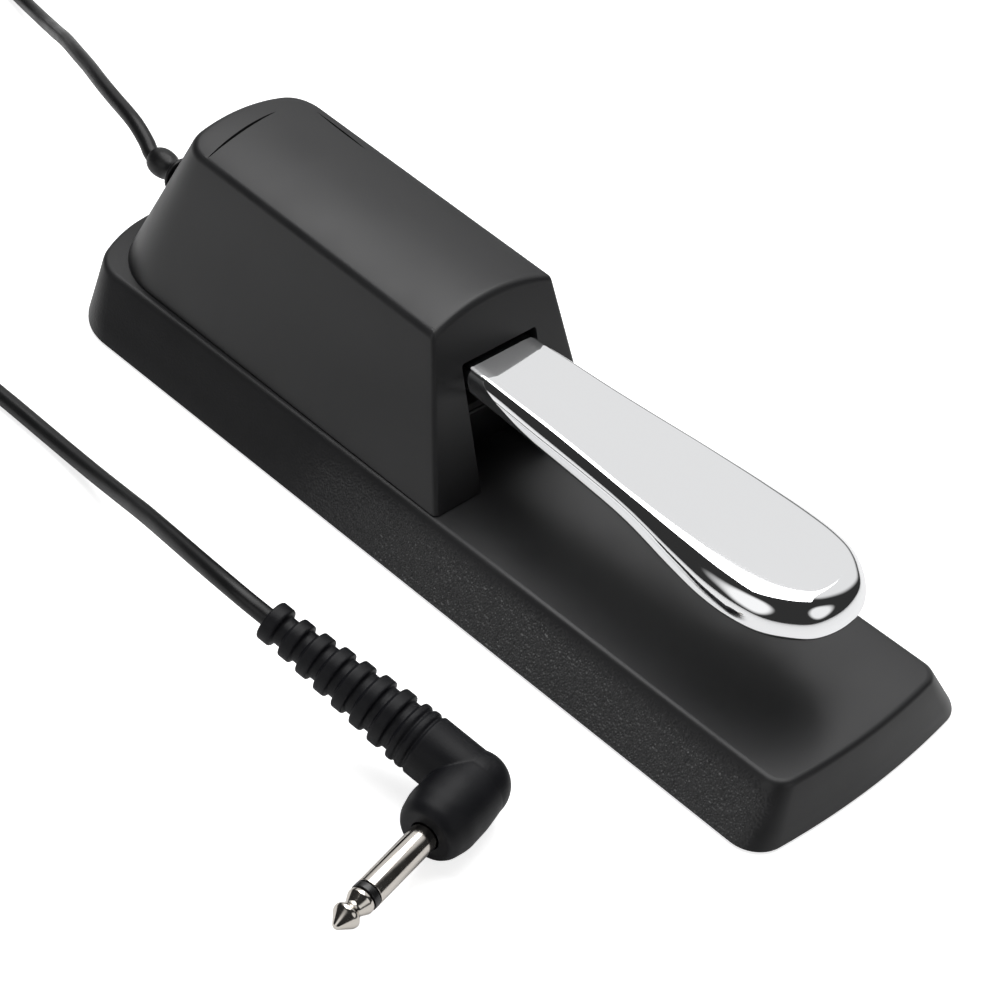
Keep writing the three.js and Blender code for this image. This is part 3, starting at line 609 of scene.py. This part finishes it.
def panel_glow(tree, direction, panel):
    """Brightness of one panel by direction: full in the middle, fading to nothing."""
    towards = tree.nodes.new("ShaderNodeVectorMath")
    towards.operation = "DOT_PRODUCT"
    towards.inputs[1].default_value = panel_direction(panel["bearing"], panel["elevation"])
    tree.links.new(direction, towards.inputs[0])
    fade = tree.nodes.new("ShaderNodeMapRange")
    fade.interpolation_type = "SMOOTHSTEP"
    fade.inputs["From Min"].default_value = math.cos(math.radians(panel["end"]))
    fade.inputs["From Max"].default_value = math.cos(math.radians(panel["full"]))
    fade.inputs["To Max"].default_value = panel["light"]
    tree.links.new(towards.outputs["Value"], fade.inputs["Value"])
    return fade.outputs["Result"]


def make_world():
    """A dark studio with soft panels, behind a plain white backdrop."""
    world = bpy.data.worlds.new("studio")
    world.use_nodes = True
    tree = world.node_tree
    direction = tree.nodes.new("ShaderNodeTexCoord").outputs["Generated"]
    total = None
    for panel in PANELS:
        glow = panel_glow(tree, direction, panel)
        joined = tree.nodes.new("ShaderNodeMath")
        joined.operation = "MAXIMUM"
        tree.links.new(glow, joined.inputs[0])
        if total:
            tree.links.new(total, joined.inputs[1])
        else:
            joined.inputs[1].default_value = ROOM_LIGHT
        total = joined.outputs[0]
    seen = tree.nodes.new("ShaderNodeMix")
    seen.inputs["B"].default_value = BACKDROP
    path = tree.nodes.new("ShaderNodeLightPath").outputs["Is Camera Ray"]
    tree.links.new(path, seen.inputs["Factor"])
    tree.links.new(total, seen.inputs["A"])
    tree.links.new(seen.outputs["Result"], tree.nodes["Background"].inputs["Strength"])
    tree.nodes["Background"].inputs["Color"].default_value = (1, 1, 1, 1)
    bpy.context.scene.world = world


def make_floor():
    mesh = bpy.data.meshes.new("studio_floor")
    corners = [(x * FLOOR_HALF, y * FLOOR_HALF, 0) for x, y in ((-1, -1), (1, -1), (1, 1), (-1, 1))]
    mesh.from_pydata(corners, [], [(0, 1, 2, 3)])
    floor = bpy.data.objects.new("studio_floor", mesh)
    bpy.context.scene.collection.objects.link(floor)
    material = principled("studio_paper", (0.92, 0.92, 0.92), 0.9, specular=0.1)
    shader_of(material).inputs["Emission Color"].default_value = (1, 1, 1, 1)
    path = add_node(material, "ShaderNodeLightPath").outputs["Is Camera Ray"]
    glow = math_node(material, "MULTIPLY", path, FLOOR_GLOW)
    link(material, glow, shader_of(material).inputs["Emission Strength"])
    mesh.materials.append(material)


def make_studio():
    make_camera()
    make_world()
    make_floor()
    area_light("overhead", (0.2, 0.25, 1.1), (0, 0, 0), (1, 1), 12)
    scene = bpy.context.scene
    scene.view_settings.view_transform = "Standard"
    scene.cycles.use_denoising = True


# ---- cord
# Where the turns of the coil lie, in order: sideways from the mean radius, and height.
# Four lie side by side on the floor, the others on top of them, and the end leaves outside.
COIL_SLOTS = [(6.45, 2.15), (2.15, 2.15), (-2.15, 2.15), (-6.45, 2.15),
              (-6.45, 6.45), (-2.15, 6.45), (2.15, 6.45), (6.45, 6.45), (8.7, 6.2)]
SLOT_CHANGE = 0.14            # turns that the cord takes to move from one slot to the next
SLOT_STAGGER = 0.05           # how much earlier in its turn each change comes than the one before
COIL_STEPS = 18               # points in each turn


def slot_change_start(i):
    """Where the cord starts to move to slot i, in turns."""
    if i == len(COIL_SLOTS) - 1:
        return COIL["turns"] - SLOT_CHANGE
    return i - SLOT_CHANGE - SLOT_STAGGER * (i - 1)


def coil_points():
    """The coiled middle of the cord, whose turns lie beside and on each other."""
    points = []
    for n in range(int(COIL["turns"] * COIL_STEPS) + 1):
        at = n / COIL_STEPS
        side, height = COIL_SLOTS[0]
        for i in range(1, len(COIL_SLOTS)):
            t = ease(at, slot_change_start(i), slot_change_start(i) + SLOT_CHANGE)
            side += (COIL_SLOTS[i][0] - side) * t
            height += (COIL_SLOTS[i][1] - height) * t
        a = 2 * math.pi * at
        r = COIL["radius"] + side
        points.append((COIL["x"] + r * math.cos(a), COIL["y"] + r * math.sin(a), height))
    return points


def make_cord():
    """One cord from the housing through the coil into the plug's boot, and its length."""
    inside_boot = plug_matrix() @ Vector((0, PLUG["boot_end"] - CORD_IN_BOOT, 0))
    route = CORD_REAR + coil_points() + CORD_PLUG + [tuple(inside_boot)]
    curve = bpy.data.curves.new("cord", "CURVE")
    curve.dimensions = "3D"
    curve.bevel_depth = 1                       # so that each knot's radius is the cord's own
    curve.bevel_resolution = 6
    curve.resolution_u = 10
    curve.use_fill_caps = True
    spline = curve.splines.new("BEZIER")
    spline.bezier_points.add(len(route) - 1)
    for knot, p in zip(spline.bezier_points, route):
        knot.co = Vector(p) * MM
        knot.handle_left_type = knot.handle_right_type = "AUTO"
        knot.radius = CORD_RADIUS * MM
    cord = bpy.data.objects.new("cord", curve)
    bpy.context.scene.collection.objects.link(cord)
    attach(cord, "base")
    finish_piece(cord, "cord_jacket", "cord_rear", "cord_coil", "cord_plug")
    return cord, route_length(route)


def route_length(route):
    return sum(math.dist(a, b) for a, b in zip(route, route[1:])) * MM


def coil_tie():
    """A soft band round the coil's turns, at the side away from the pedal."""
    low, high, band = TIE["low"], TIE["high"], TIE["band"]
    centre = np.array([0, (low + high) / 2])
    inner = round_rectangle(TIE["half_width"], (high - low) / 2, TIE["corner"], steps=6) + centre
    away = inner - centre
    outer = inner + TIE["thick"] * away / np.linalg.norm(away, axis=1)[:, None]
    rings = []
    for loop, y in ((inner, 0), (inner, band), (outer, band), (outer, 0)):
        rings.append(np.column_stack([loop[:, 0], np.full(len(loop), y - band / 2), loop[:, 1]]))
    count = len(inner)
    faces = loft_faces(len(rings), count)
    last = (len(rings) - 1) * count
    faces += [(last + j, last + (j + 1) % count, (j + 1) % count, j) for j in range(count)]
    at_coil = Matrix.Translation((COIL["x"], COIL["y"] + COIL["radius"], 0)) @ QUARTER_TURN
    at = moved(np.vstack(rings), at_coil)
    return new_piece("coil_tie", at, faces, FINISHES["rubber"], sharp=50)


# ---- base
def base_outline(z):
    return mix(BASE_FLOOR, BASE_DECK, (z - SKIRT_BOTTOM) / (DECK - SKIRT_BOTTOM))


def deck_posts():
    """The post of the lower stop, the switch's wall and the block under the cable clamp."""
    stop_height = STOP["top"] - STOP["pad"] - GAP - DECK
    return [
        soft_box((22, 6, stop_height), (0, STOP["y"], DECK + stop_height / 2)),
        soft_box((2.4, 23, 14), (-4.9, 35.5, DECK + 7)),
        soft_box((23, 8, 6.4), (0, 86, DECK + 2.8)),
    ]


def base_shell():
    """Sloping skirt, soft deck edge and hollow underside, with the posts that stand on the deck."""
    edge, lip, steps = 1.3, 0.5, 6
    height = DECK - SKIRT_BOTTOM
    foot = outline(base_outline(SKIRT_BOTTOM))
    rim = outline(base_outline(DECK))
    wall = at_height(rim + (foot - rim) * (edge / height), DECK - edge)
    corner = at_height(rim, DECK)
    deck = at_height(outline(inset(base_outline(DECK), edge)), DECK)
    rings = [
        at_height(outline(inset(base_outline(SKIRT_BOTTOM), WALL - 0.3)), SKIRT_BOTTOM),
        at_height(outline(inset(base_outline(SKIRT_BOTTOM), lip)), SKIRT_BOTTOM),
        at_height(outline(inset(base_outline(SKIRT_BOTTOM), lip * 0.3)), SKIRT_BOTTOM + lip * 0.25),
    ]
    rings += [at_height(foot + (rim - foot) * t, SKIRT_BOTTOM + height * t) for t in (0.05, 0.3, 0.6)]
    rings += [bezier(wall, corner, deck, i / steps) for i in range(steps + 1)]
    ceiling = DECK - WALL
    under = [at_height(outline(inset(base_outline(ceiling), WALL)), ceiling),
             at_height(outline(inset(base_outline(SKIRT_BOTTOM), WALL)), SKIRT_BOTTOM)]
    body = loft(under + rings)
    piece = new_piece("base_cover", *merged(body, *deck_posts()), FINISHES["abs_grained"])
    # marks where the pebbles and the paler painted sheen go
    mark_grain_and_sheen(piece)
    return finish_piece(piece, "black_abs", "base_shell")


def mark_grain_and_sheen(piece):
    """Full pebbling and painted sheen on the front half of the sloping sides, fading to a trace on the
    rear half.
    """
    attribute = piece.data.attributes.new("grain_and_sheen", "FLOAT", "POINT")
    trace = 0.05
    values = []
    for vertex in piece.data.vertices:
        x, y, z = (c / MM for c in vertex.co)
        side = ramp(abs(x), 27.6, 28.8)
        height = ramp(z, DECK - 0.7, DECK - 1.5)
        front, rear = ramp(y, -118.5, -113.5), ramp(y, 30, -10)
        values.append(side * height * front * max(rear, trace))
    attribute.data.foreach_set("value", values)


# ---- housing
def roof_z(x, y, drop=0.0):
    radius = (ROOF["half"] ** 2 + ROOF["crown"] ** 2) / (2 * ROOF["crown"])
    rise = math.sqrt(radius ** 2 - x ** 2) - (radius - ROOF["crown"])
    return ROOF["edge"] + ROOF["slope"] * y + rise - drop


def shell_rings(thickness, edge, steps):
    """Rings up the walls and over a soft edge onto the roof; thickness moves them inward."""
    foot = inset(mix(HOUSING_FOOT, HOUSING_TOP, 0), thickness)
    top = inset(mix(HOUSING_FOOT, HOUSING_TOP, 1), thickness)
    span_z = HOUSING_TOP_Z - HOUSING_FOOT_Z

    def plan(t):
        return outline(mix(foot, top, t), steps=12, along=44)

    low, high = plan(0), plan(1)
    meets = []
    for a, b in zip(low, high):
        t = 0.9
        for _ in range(25):                     # settles on where the wall meets the roof
            x, y = a + (b - a) * t
            t = (roof_z(x, y, thickness) - HOUSING_FOOT_Z) / span_z
        meets.append(t)
    meets = np.array(meets)[:, None]
    corner_xy = low + (high - low) * meets
    corner = at_height(corner_xy, HOUSING_FOOT_Z + span_z * meets[:, 0])
    below = meets - edge / span_z
    wall = at_height(low + (high - low) * below, HOUSING_FOOT_Z + span_z * below[:, 0])
    roof_outline = plan_inset(corner_xy, edge)
    roof = at_height(roof_outline, [roof_z(x, y, thickness) for x, y in roof_outline])
    rings = [at_height(low, HOUSING_FOOT_Z)]
    for share in (0.25, 0.5, 0.75):
        part = below * share
        rings.append(at_height(low + (high - low) * part, HOUSING_FOOT_Z + span_z * part[:, 0]))
    rings += [bezier(wall, corner, roof, i / steps) for i in range(steps + 1)]
    return rings


def plan_inset(xy, d):
    """A closed plan moved inward by d."""
    before, after = np.roll(xy, 1, 0), np.roll(xy, -1, 0)
    along = after - before
    along = along / np.linalg.norm(along, axis=1)[:, None]
    return xy + d * np.column_stack([-along[:, 1], along[:, 0]])


def fill_roof(ring, spacing, drop):
    """Fine triangles over the roof inside a ring, each point on the crowned surface."""
    rim = [Vector((float(x), float(y))) for x, y, _ in ring]
    low, high = ring[:, :2].min(0), ring[:, :2].max(0)
    inner = []
    loop = plan_inset(ring[:, :2], 0.6 * spacing)
    for y in np.arange(low[1] + spacing / 2, high[1], spacing):
        for x in np.arange(-math.floor(high[0] / spacing) * spacing, high[0], spacing):
            if inside(loop, x, y):
                inner.append(Vector((float(x), float(y))))
    count = len(rim)
    edges = [(i, (i + 1) % count) for i in range(count)]
    found = geometry.delaunay_2d_cdt(rim + inner, edges, [tuple(range(count))], 1, 1e-5)
    points = [(p.x, p.y, roof_z(p.x, p.y, drop)) for p in found[0]]
    return np.array(points), [tuple(f) for f in found[2]]


def inside(loop, x, y):
    hits = 0
    for (x0, y0), (x1, y1) in zip(loop, np.roll(loop, -1, 0)):
        if (y0 > y) != (y1 > y) and x < x0 + (y - y0) / (y1 - y0) * (x1 - x0):
            hits += 1
    return hits % 2 == 1


def housing_cover():
    """The tower with walls of even thickness, a crowned roof, the lever's slot and two fine slits."""
    outer = shell_rings(0, 1.5, 6)
    inner = shell_rings(WALL, 0.8, 2)
    walls = inner[::-1] + outer
    sides = np.vstack(walls), loft_faces(len(walls), len(outer[0]))
    top = fill_roof(outer[-1], 2.4, 0)
    under = fill_roof(inner[-1], 5, WALL)
    piece = new_piece("tower_cover", *merged(sides, top, under), FINISHES["black_abs"])
    weld(piece, 0.002)
    combine(piece, [slot_opening()] + [slit_cut(slit) for slit in ROOF_SLITS])
    return finish_piece(piece, "black_abs", "housing_cover")


def weld(piece, distance):
    """Joins points that are closer than the distance, in millimetres."""
    work = bmesh.new()
    work.from_mesh(piece.data)
    bmesh.ops.remove_doubles(work, verts=work.verts, dist=distance * MM)
    bmesh.ops.recalc_face_normals(work, faces=work.faces)
    work.to_mesh(piece.data)
    work.free()


def slot_opening():
    """The opening for the lever: a tall tapered slot with small round corners at its top."""
    radius, steps, foot_z = 0.8, 4, 5
    bottom, half, top = SLOT["half_bottom"], SLOT["half_top"], SLOT["top"]

    def ring(y):
        points = [(-bottom, y, foot_z), (bottom, y, foot_z)]
        for side in (1, -1):
            for i in range(steps + 1):
                a = math.pi / 2 * i / steps
                if side < 0:
                    a = math.pi / 2 - a
                x = side * (half - radius + radius * math.cos(a))
                points.append((x, y, top - radius + radius * math.sin(a)))
        return np.array(points)

    return loft([ring(-40), ring(8)])


def slit_cut(slit):
    """A shallow slit that tapers to nothing at both ends."""
    (x0, y0), (x1, y1), half = slit
    length = math.hypot(x1 - x0, y1 - y0)
    ux, uy = (x1 - x0) / length, (y1 - y0) / length
    steps, deepest, floor_share, above = 16, 0.9, 0.6, 1
    rings = []
    for i in range(steps + 1):
        t = i / steps
        swell = max(math.sin(math.pi * t) ** 0.6, 0.06)
        w, depth = half * swell, deepest * swell
        x, y = x0 + ux * length * t, y0 + uy * length * t
        z = roof_z(max(min(x, 18), -18), y)
        section = ((w, above), (w * floor_share, -depth), (-w * floor_share, -depth), (-w, above))
        rings.append(np.array([(x - uy * out, y + ux * out, z + up) for out, up in section]))
    return loft(rings)


# ---- lever
def spline_through(points, samples):
    """Even samples on a centripetal Catmull-Rom curve through plan points."""
    before = 2 * np.array(points[0]) - points[1]
    after = 2 * np.array(points[-1]) - points[-2]
    p = np.array([before, *points, after], float)
    fine = []
    for i in range(1, len(p) - 2):
        p0, p1, p2, p3 = p[i - 1:i + 3]
        k = [0]
        for a, b in ((p0, p1), (p1, p2), (p2, p3)):
            k.append(k[-1] + np.linalg.norm(b - a) ** 0.5)
        for t in np.linspace(k[1], k[2], 40, endpoint=i == len(p) - 3):
            a1 = (k[1] - t) / (k[1] - k[0]) * p0 + (t - k[0]) / (k[1] - k[0]) * p1
            a2 = (k[2] - t) / (k[2] - k[1]) * p1 + (t - k[1]) / (k[2] - k[1]) * p2
            a3 = (k[3] - t) / (k[3] - k[2]) * p2 + (t - k[2]) / (k[3] - k[2]) * p3
            b1 = (k[2] - t) / (k[2] - k[0]) * a1 + (t - k[0]) / (k[2] - k[0]) * a2
            b2 = (k[3] - t) / (k[3] - k[1]) * a2 + (t - k[1]) / (k[3] - k[1]) * a3
            fine.append((k[2] - t) / (k[2] - k[1]) * b1 + (t - k[1]) / (k[2] - k[1]) * b2)
    fine = np.array(fine)
    run = np.concatenate([[0], np.cumsum(np.linalg.norm(np.diff(fine, axis=0), axis=1))])
    at = np.linspace(0, run[-1], samples)
    return np.column_stack([np.interp(at, run, fine[:, k]) for k in (0, 1)])


def lever_plan():
    """The lever's closed plan, from the tail's middle down the right side to the tip and back."""
    other_side = [(-x, y) for x, y in LEVER_PLAN[-2::-1]]
    count = 110
    side = [tuple(p) for p in spline_through(LEVER_PLAN + other_side, 2 * count - 1)[:count]]
    side[-1] = (0, side[-1][1])
    tail = [(0, LEVER_TAIL), (REAR_HALF - TAIL_CHAMFER, LEVER_TAIL)]
    tail += [(REAR_HALF, y) for y in (LEVER_TAIL - TAIL_CHAMFER, 60, 40, 21, 7)]
    right = tail + side
    left = [(-x, y) for x, y in right[1:-1][::-1]]
    return np.array(right + left)


def vary_inset(plan, amounts):
    """A clockwise closed plan moved inward by its own amount at each point."""
    before, after = np.roll(plan, 1, 0), np.roll(plan, -1, 0)
    along = after - before
    along = along / np.linalg.norm(along, axis=1)[:, None]
    return plan + np.asarray(amounts)[:, None] * np.column_stack([along[:, 1], -along[:, 0]])


def lever_rings(plan):
    """Rings from the lower rim of the lever up its sides and over its rounded upper edge."""
    slim, neck, paddle = (np.array([ease(y, *ends) for _, y in plan])
                          for ends in (SLIMMING, NECK, PADDLE))
    depth = REAR_DEPTH - (REAR_DEPTH - NECK_DEPTH) * slim + (TIP_DEPTH - NECK_DEPTH) * paddle
    reach = EDGE_REACH["rear"] + EDGE_REACH["neck"] * neck + EDGE_REACH["tip"] * paddle
    fall = EDGE_FALL["rear"] + EDGE_FALL["neck"] * neck + EDGE_FALL["tip"] * paddle
    bottom = LEVER_TOP - depth
    under = np.full(len(plan), LOWER_EDGE)
    just_inside_pocket = np.full(len(plan), POCKET_WALL + 0.1)
    rings = [at_height(vary_inset(plan, just_inside_pocket), bottom)]
    lower_steps, upper_steps = 4, 12
    for i in range(lower_steps + 1):
        a = math.pi / 2 * (1 - i / lower_steps)
        inner = vary_inset(plan, under * (1 - math.cos(a)))
        rings.append(at_height(inner, bottom + under * (1 - math.sin(a))))
    for i in range(upper_steps + 1):
        a = math.pi / 2 * i / upper_steps
        inner = vary_inset(plan, reach * (1 - math.cos(a)))
        rings.append(at_height(inner, LEVER_TOP - fall * (1 - math.sin(a))))
    return rings


def pedal_lever():
    """The casting: rounded edges, a hollow underside ahead of the rib, a lug, a boss and the bore."""
    plan = lever_plan()
    rings = lever_rings(plan)
    points, faces = loft(rings, cap_last=False)
    points, faces = top_face(points, faces, (len(rings) - 1) * len(plan), len(plan))
    piece = new_piece("lever", points, faces, FINISHES["chrome"], body="pedal", sharp=50)
    combine(piece, [lever_pocket(plan)])
    combine(piece, lever_lugs(), "UNION")
    bore, bore_faces = turn([(0, -20), (PIVOT["bore"], -20), (PIVOT["bore"], 20), (0, 20)], 48)
    at_pivot = Matrix.Translation((0, PIVOT["y"], PIVOT["z"])) @ QUARTER_TURN
    combine(piece, [(moved(bore, at_pivot), bore_faces)], sharp=50)
    return finish_piece(piece, "chrome", "pedal_lever")


def lever_lugs():
    """The lug over the lower stop and the pivot's boss, both a little way into the casting."""
    seat, ceiling = LEVER_TOP - REAR_DEPTH, POCKET_CEILING + 0.2
    return [
        soft_box((14.6, 5.4, ceiling - seat), (0, STOP["y"], (seat + ceiling) / 2), 0.5),
        soft_box((2 * REAR_HALF - 0.4, 13, 6.2), (0, PIVOT["y"], PIVOT["z"] - 3.1), 0.5),
    ]


def top_face(points, faces, start, count):
    """Rows of quads across the top face, from each point on the right to its mirror on the left."""
    points = [tuple(p) for p in points]
    across = 8
    half = count // 2
    rows = []
    for j in range(half + 1):
        a, b = np.array(points[start + j]), np.array(points[start + (count - j) % count])
        if j in (0, half):
            rows.append([start + j] * (across + 1))
            continue
        row = [start + j]
        for i in range(1, across):
            row.append(len(points))
            points.append(tuple(a + (b - a) * i / across))
        row.append(start + (count - j) % count)
        rows.append(row)
    for low, high in zip(rows, rows[1:]):
        for i in range(across):
            add_face(faces, low[i], low[i + 1], high[i + 1], high[i])
    return np.array(points), faces


def lever_pocket(plan):
    """The hollow underside ahead of the rib that works the switch."""
    inner = vary_inset(plan, np.full(len(plan), POCKET_WALL))
    front = inner[inner[:, 1] < LEVER_RIB - 4]
    half_end = REAR_HALF - POCKET_WALL
    loop = np.vstack([front, [(-half_end, LEVER_RIB), (half_end, LEVER_RIB)]])
    return loft([at_height(loop, 20), at_height(loop, POCKET_CEILING)])


# ---- strain relief and plug
def strain_relief():
    """Flanged bush, a short neck and the smooth ball that the cord leaves."""
    inner_flange = [(5, 100.6), (5, 102.6), (3.3, 102.6)]
    outer_flange = [(3.3, 111.6), (4.9, 111.6), (4.9, 112.8), (3.4, 113.2)]
    neck = [(3, 114.6), (3.1, 115.8)]
    ball = [(3.6, 117.2), (3.85, 119), (3.7, 120.8), (3.1, 122.3)]
    ends = (CORD_HOLE, 100.6), (CORD_HOLE, 122.8)
    profile = [ends[0], *inner_flange, *outer_flange, *neck, *ball, ends[1]]
    points, faces = turn(rounded(profile, 0.8), 64)
    piece = new_piece("cord_grommet", points + np.array([0, 0, EXIT_HEIGHT]), faces,
                      FINISHES["cord_jacket"], sharp=50)
    return finish_piece(piece, "cord_jacket", "strain_relief")


def plug_matrix():
    """From the plug's own frame, boot toward +Y and jack toward -X, to where it lies."""
    turn_to = [Matrix.Rotation(math.radians(PLUG[key]), 4, axis)
               for key, axis in (("heading", "Z"), ("pitch", "X"))]
    roll = Matrix.Rotation(math.radians(-PLUG["roll"]), 4, "Y")
    return Matrix.Translation(PLUG["elbow"]) @ turn_to[0] @ turn_to[1] @ roll


def boot_profile():
    """Smooth body, two fine rings, six ribs that shrink toward the cord, and the end flange."""
    r, end, bore = PLUG["body_radius"], PLUG["boot_end"], CORD_HOLE
    profile = [(0, 0), (r, 0), (r, 13.6)]
    for i in range(2):
        y = 13.6 + 2.5 * i
        profile += [(r - 0.6, y + 0.15), (r - 0.6, y + 0.75), (r - 0.1, y + 0.95), (r - 0.1, y + 2.4)]
    for i in range(6):
        y = 18.6 + 5.25 * i
        rib = 6.8 - 0.4 * i
        profile += [(rib - 1, y + 0.2), (rib - 1, y + 2.1), (rib, y + 2.3), (rib, y + 5.1)]
    profile += [(3.4, 50.2), (3.4, 52.4), (4.7, 52.8), (4.7, end - 0.3), (4.4, end), (bore, end),
                (bore, 20), (0, 19)]
    return rounded(profile, 0.3, 2)


def head_profile():
    """The barrel round the jack, from the elbow to the face the jack stands out of."""
    r, face = PLUG["head_radius"], PLUG["shoulder"]
    return rounded([(0, 0), (r - 0.8, 0), (r - 0.1, 6), (r, face - 5.4), (r - 0.9, face - 1.6),
                    (r - 1.8, face - 0.3), (r - 2.3, face), (0, face)], 1.2)


def ball_profile(radius):
    steps = 24
    angles = [math.pi * i / steps for i in range(steps + 1)]
    return [(radius * math.sin(a), -radius * math.cos(a)) for a in angles]


def plug_body():
    """One moulding: boot, head and a round elbow are joined, then remeshed to soften the corner."""
    piece = new_piece("plug_moulding", *turn(boot_profile()), FINISHES["plug_boot"])
    head, head_faces = turn(head_profile())
    elbow = turn(ball_profile(PLUG["head_radius"] - 0.75))
    combine(piece, [(moved(head, QUARTER_TURN), head_faces), elbow], "UNION")
    soften(piece, 0.24, 2)
    wide, deep = PLUG["sleeve_radius"] + GAP, PLUG["shoulder"] - 2.2
    socket, socket_faces = turn([(0, deep), (wide, deep), (wide, deep + 6), (0, deep + 6)], 48)
    combine(piece, [(moved(socket, QUARTER_TURN), socket_faces)], sharp=50)
    piece.data.transform(in_metres(plug_matrix()))
    return finish_piece(piece, "plug_boot", "plug_body")


def soften(piece, voxel, passes):
    """Remeshes the piece in voxels of the given size in millimetres, then smooths it."""
    remesh = piece.modifiers.new("remesh", "REMESH")
    remesh.mode = "VOXEL"
    remesh.voxel_size = voxel * MM
    smooth = piece.modifiers.new("smooth", "SMOOTH")
    smooth.factor = 0.5
    smooth.iterations = passes
    apply_modifiers(piece)


def in_metres(matrix):
    """The same matrix with its move in metres."""
    out = matrix.copy()
    out.translation = out.translation * MM
    return out


def jack_piece(name, profile, slot, node):
    """A piece turned about the jack's axis from (radius, distance from the elbow) pairs."""
    points, faces = turn(profile)
    at = moved(points, plug_matrix() @ QUARTER_TURN)
    piece = new_piece(name, at, faces, FINISHES[slot], sharp=35)
    return finish_piece(piece, slot, node)


def plug_metal():
    """The jack: its sleeve, the black ring that insulates the tip, and the tip."""
    r, ring_at, end = PLUG["sleeve_radius"], PLUG["ring_at"], PLUG["tip_at"]
    inside = PLUG["shoulder"] - 1.9
    sleeve = rounded([(0, inside), (r, inside), (r, ring_at - GAP), (1.8, ring_at - GAP),
                      (1.8, ring_at - 1.3), (0, ring_at - 1.3)], 0.15)
    ring = rounded([(1.8, ring_at), (r, ring_at), (r, ring_at + 1.6), (1.8, ring_at + 1.6)], 0.15)
    start = ring_at + 1.9
    tip = rounded([(0, ring_at - 1), (1.4, ring_at - 1), (1.4, start), (3.05, start),
                   (3.1, start + 0.9), (2.1, end - 6.1), (2.1, end - 5.4), (3.1, end - 4.1),
                   (2.95, end - 3.3), (0.7, end - 0.2), (0, end)], 0.25)
    return [jack_piece("jack_sleeve", sleeve, "nickel", "plug_sleeve"),
            jack_piece("jack_ring", ring, "plug_ring", "plug_insulator"),
            jack_piece("jack_tip", tip, "nickel", "plug_tip")]


# ---- spring
def return_spring():
    """Round wire wound upward, flat at both ends."""
    turns, steps, sides = SPRING["turns"], 28, 12
    flat = 0.06                   # the share of the wire that lies flat at each end
    top, bottom = SPRING["top"], SPRING["bottom"]
    r, wire = SPRING["radius"], SPRING["wire"] / 2
    rise = top - bottom - 2 * wire
    rings = []
    for i in range(turns * steps + 1):
        t = i / (turns * steps)
        a = 2 * math.pi * turns * t
        z = bottom + wire + rise * ramp(t, flat, 1 - flat)
        ring = []
        for j in range(sides):
            b = 2 * math.pi * j / sides
            out = r + wire * math.cos(b)
            ring.append((out * math.cos(a), SPRING["y"] + out * math.sin(a), z + wire * math.sin(b)))
        rings.append(np.array(ring))
    piece = new_piece("coil_spring", *loft(rings), FINISHES["spring_steel"], sharp=50)
    finish_piece(piece, "spring_steel", "return_spring")
    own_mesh(piece)


# ---- the rest of the frame
def dress_frame():
    """Every CAD part that still shows gets its slot's finish and smooth shading."""
    for row in frame["record"]["subparts"]:
        node = frame["nodes"][row["node"]]
        node.data.materials.clear()
        node.data.materials.append(FINISHES[row["material_slot"]])
        shade(node.data, 35)


def main():
    make_studio()
    dress_frame()
    cord, cord_length = make_cord()
    tie = coil_tie()
    base_shell()
    housing_cover()
    pedal_lever()
    strain_relief()
    moulding = plug_body()
    metal = plug_metal()
    return_spring()
    bpy.context.view_layer.update()


main()
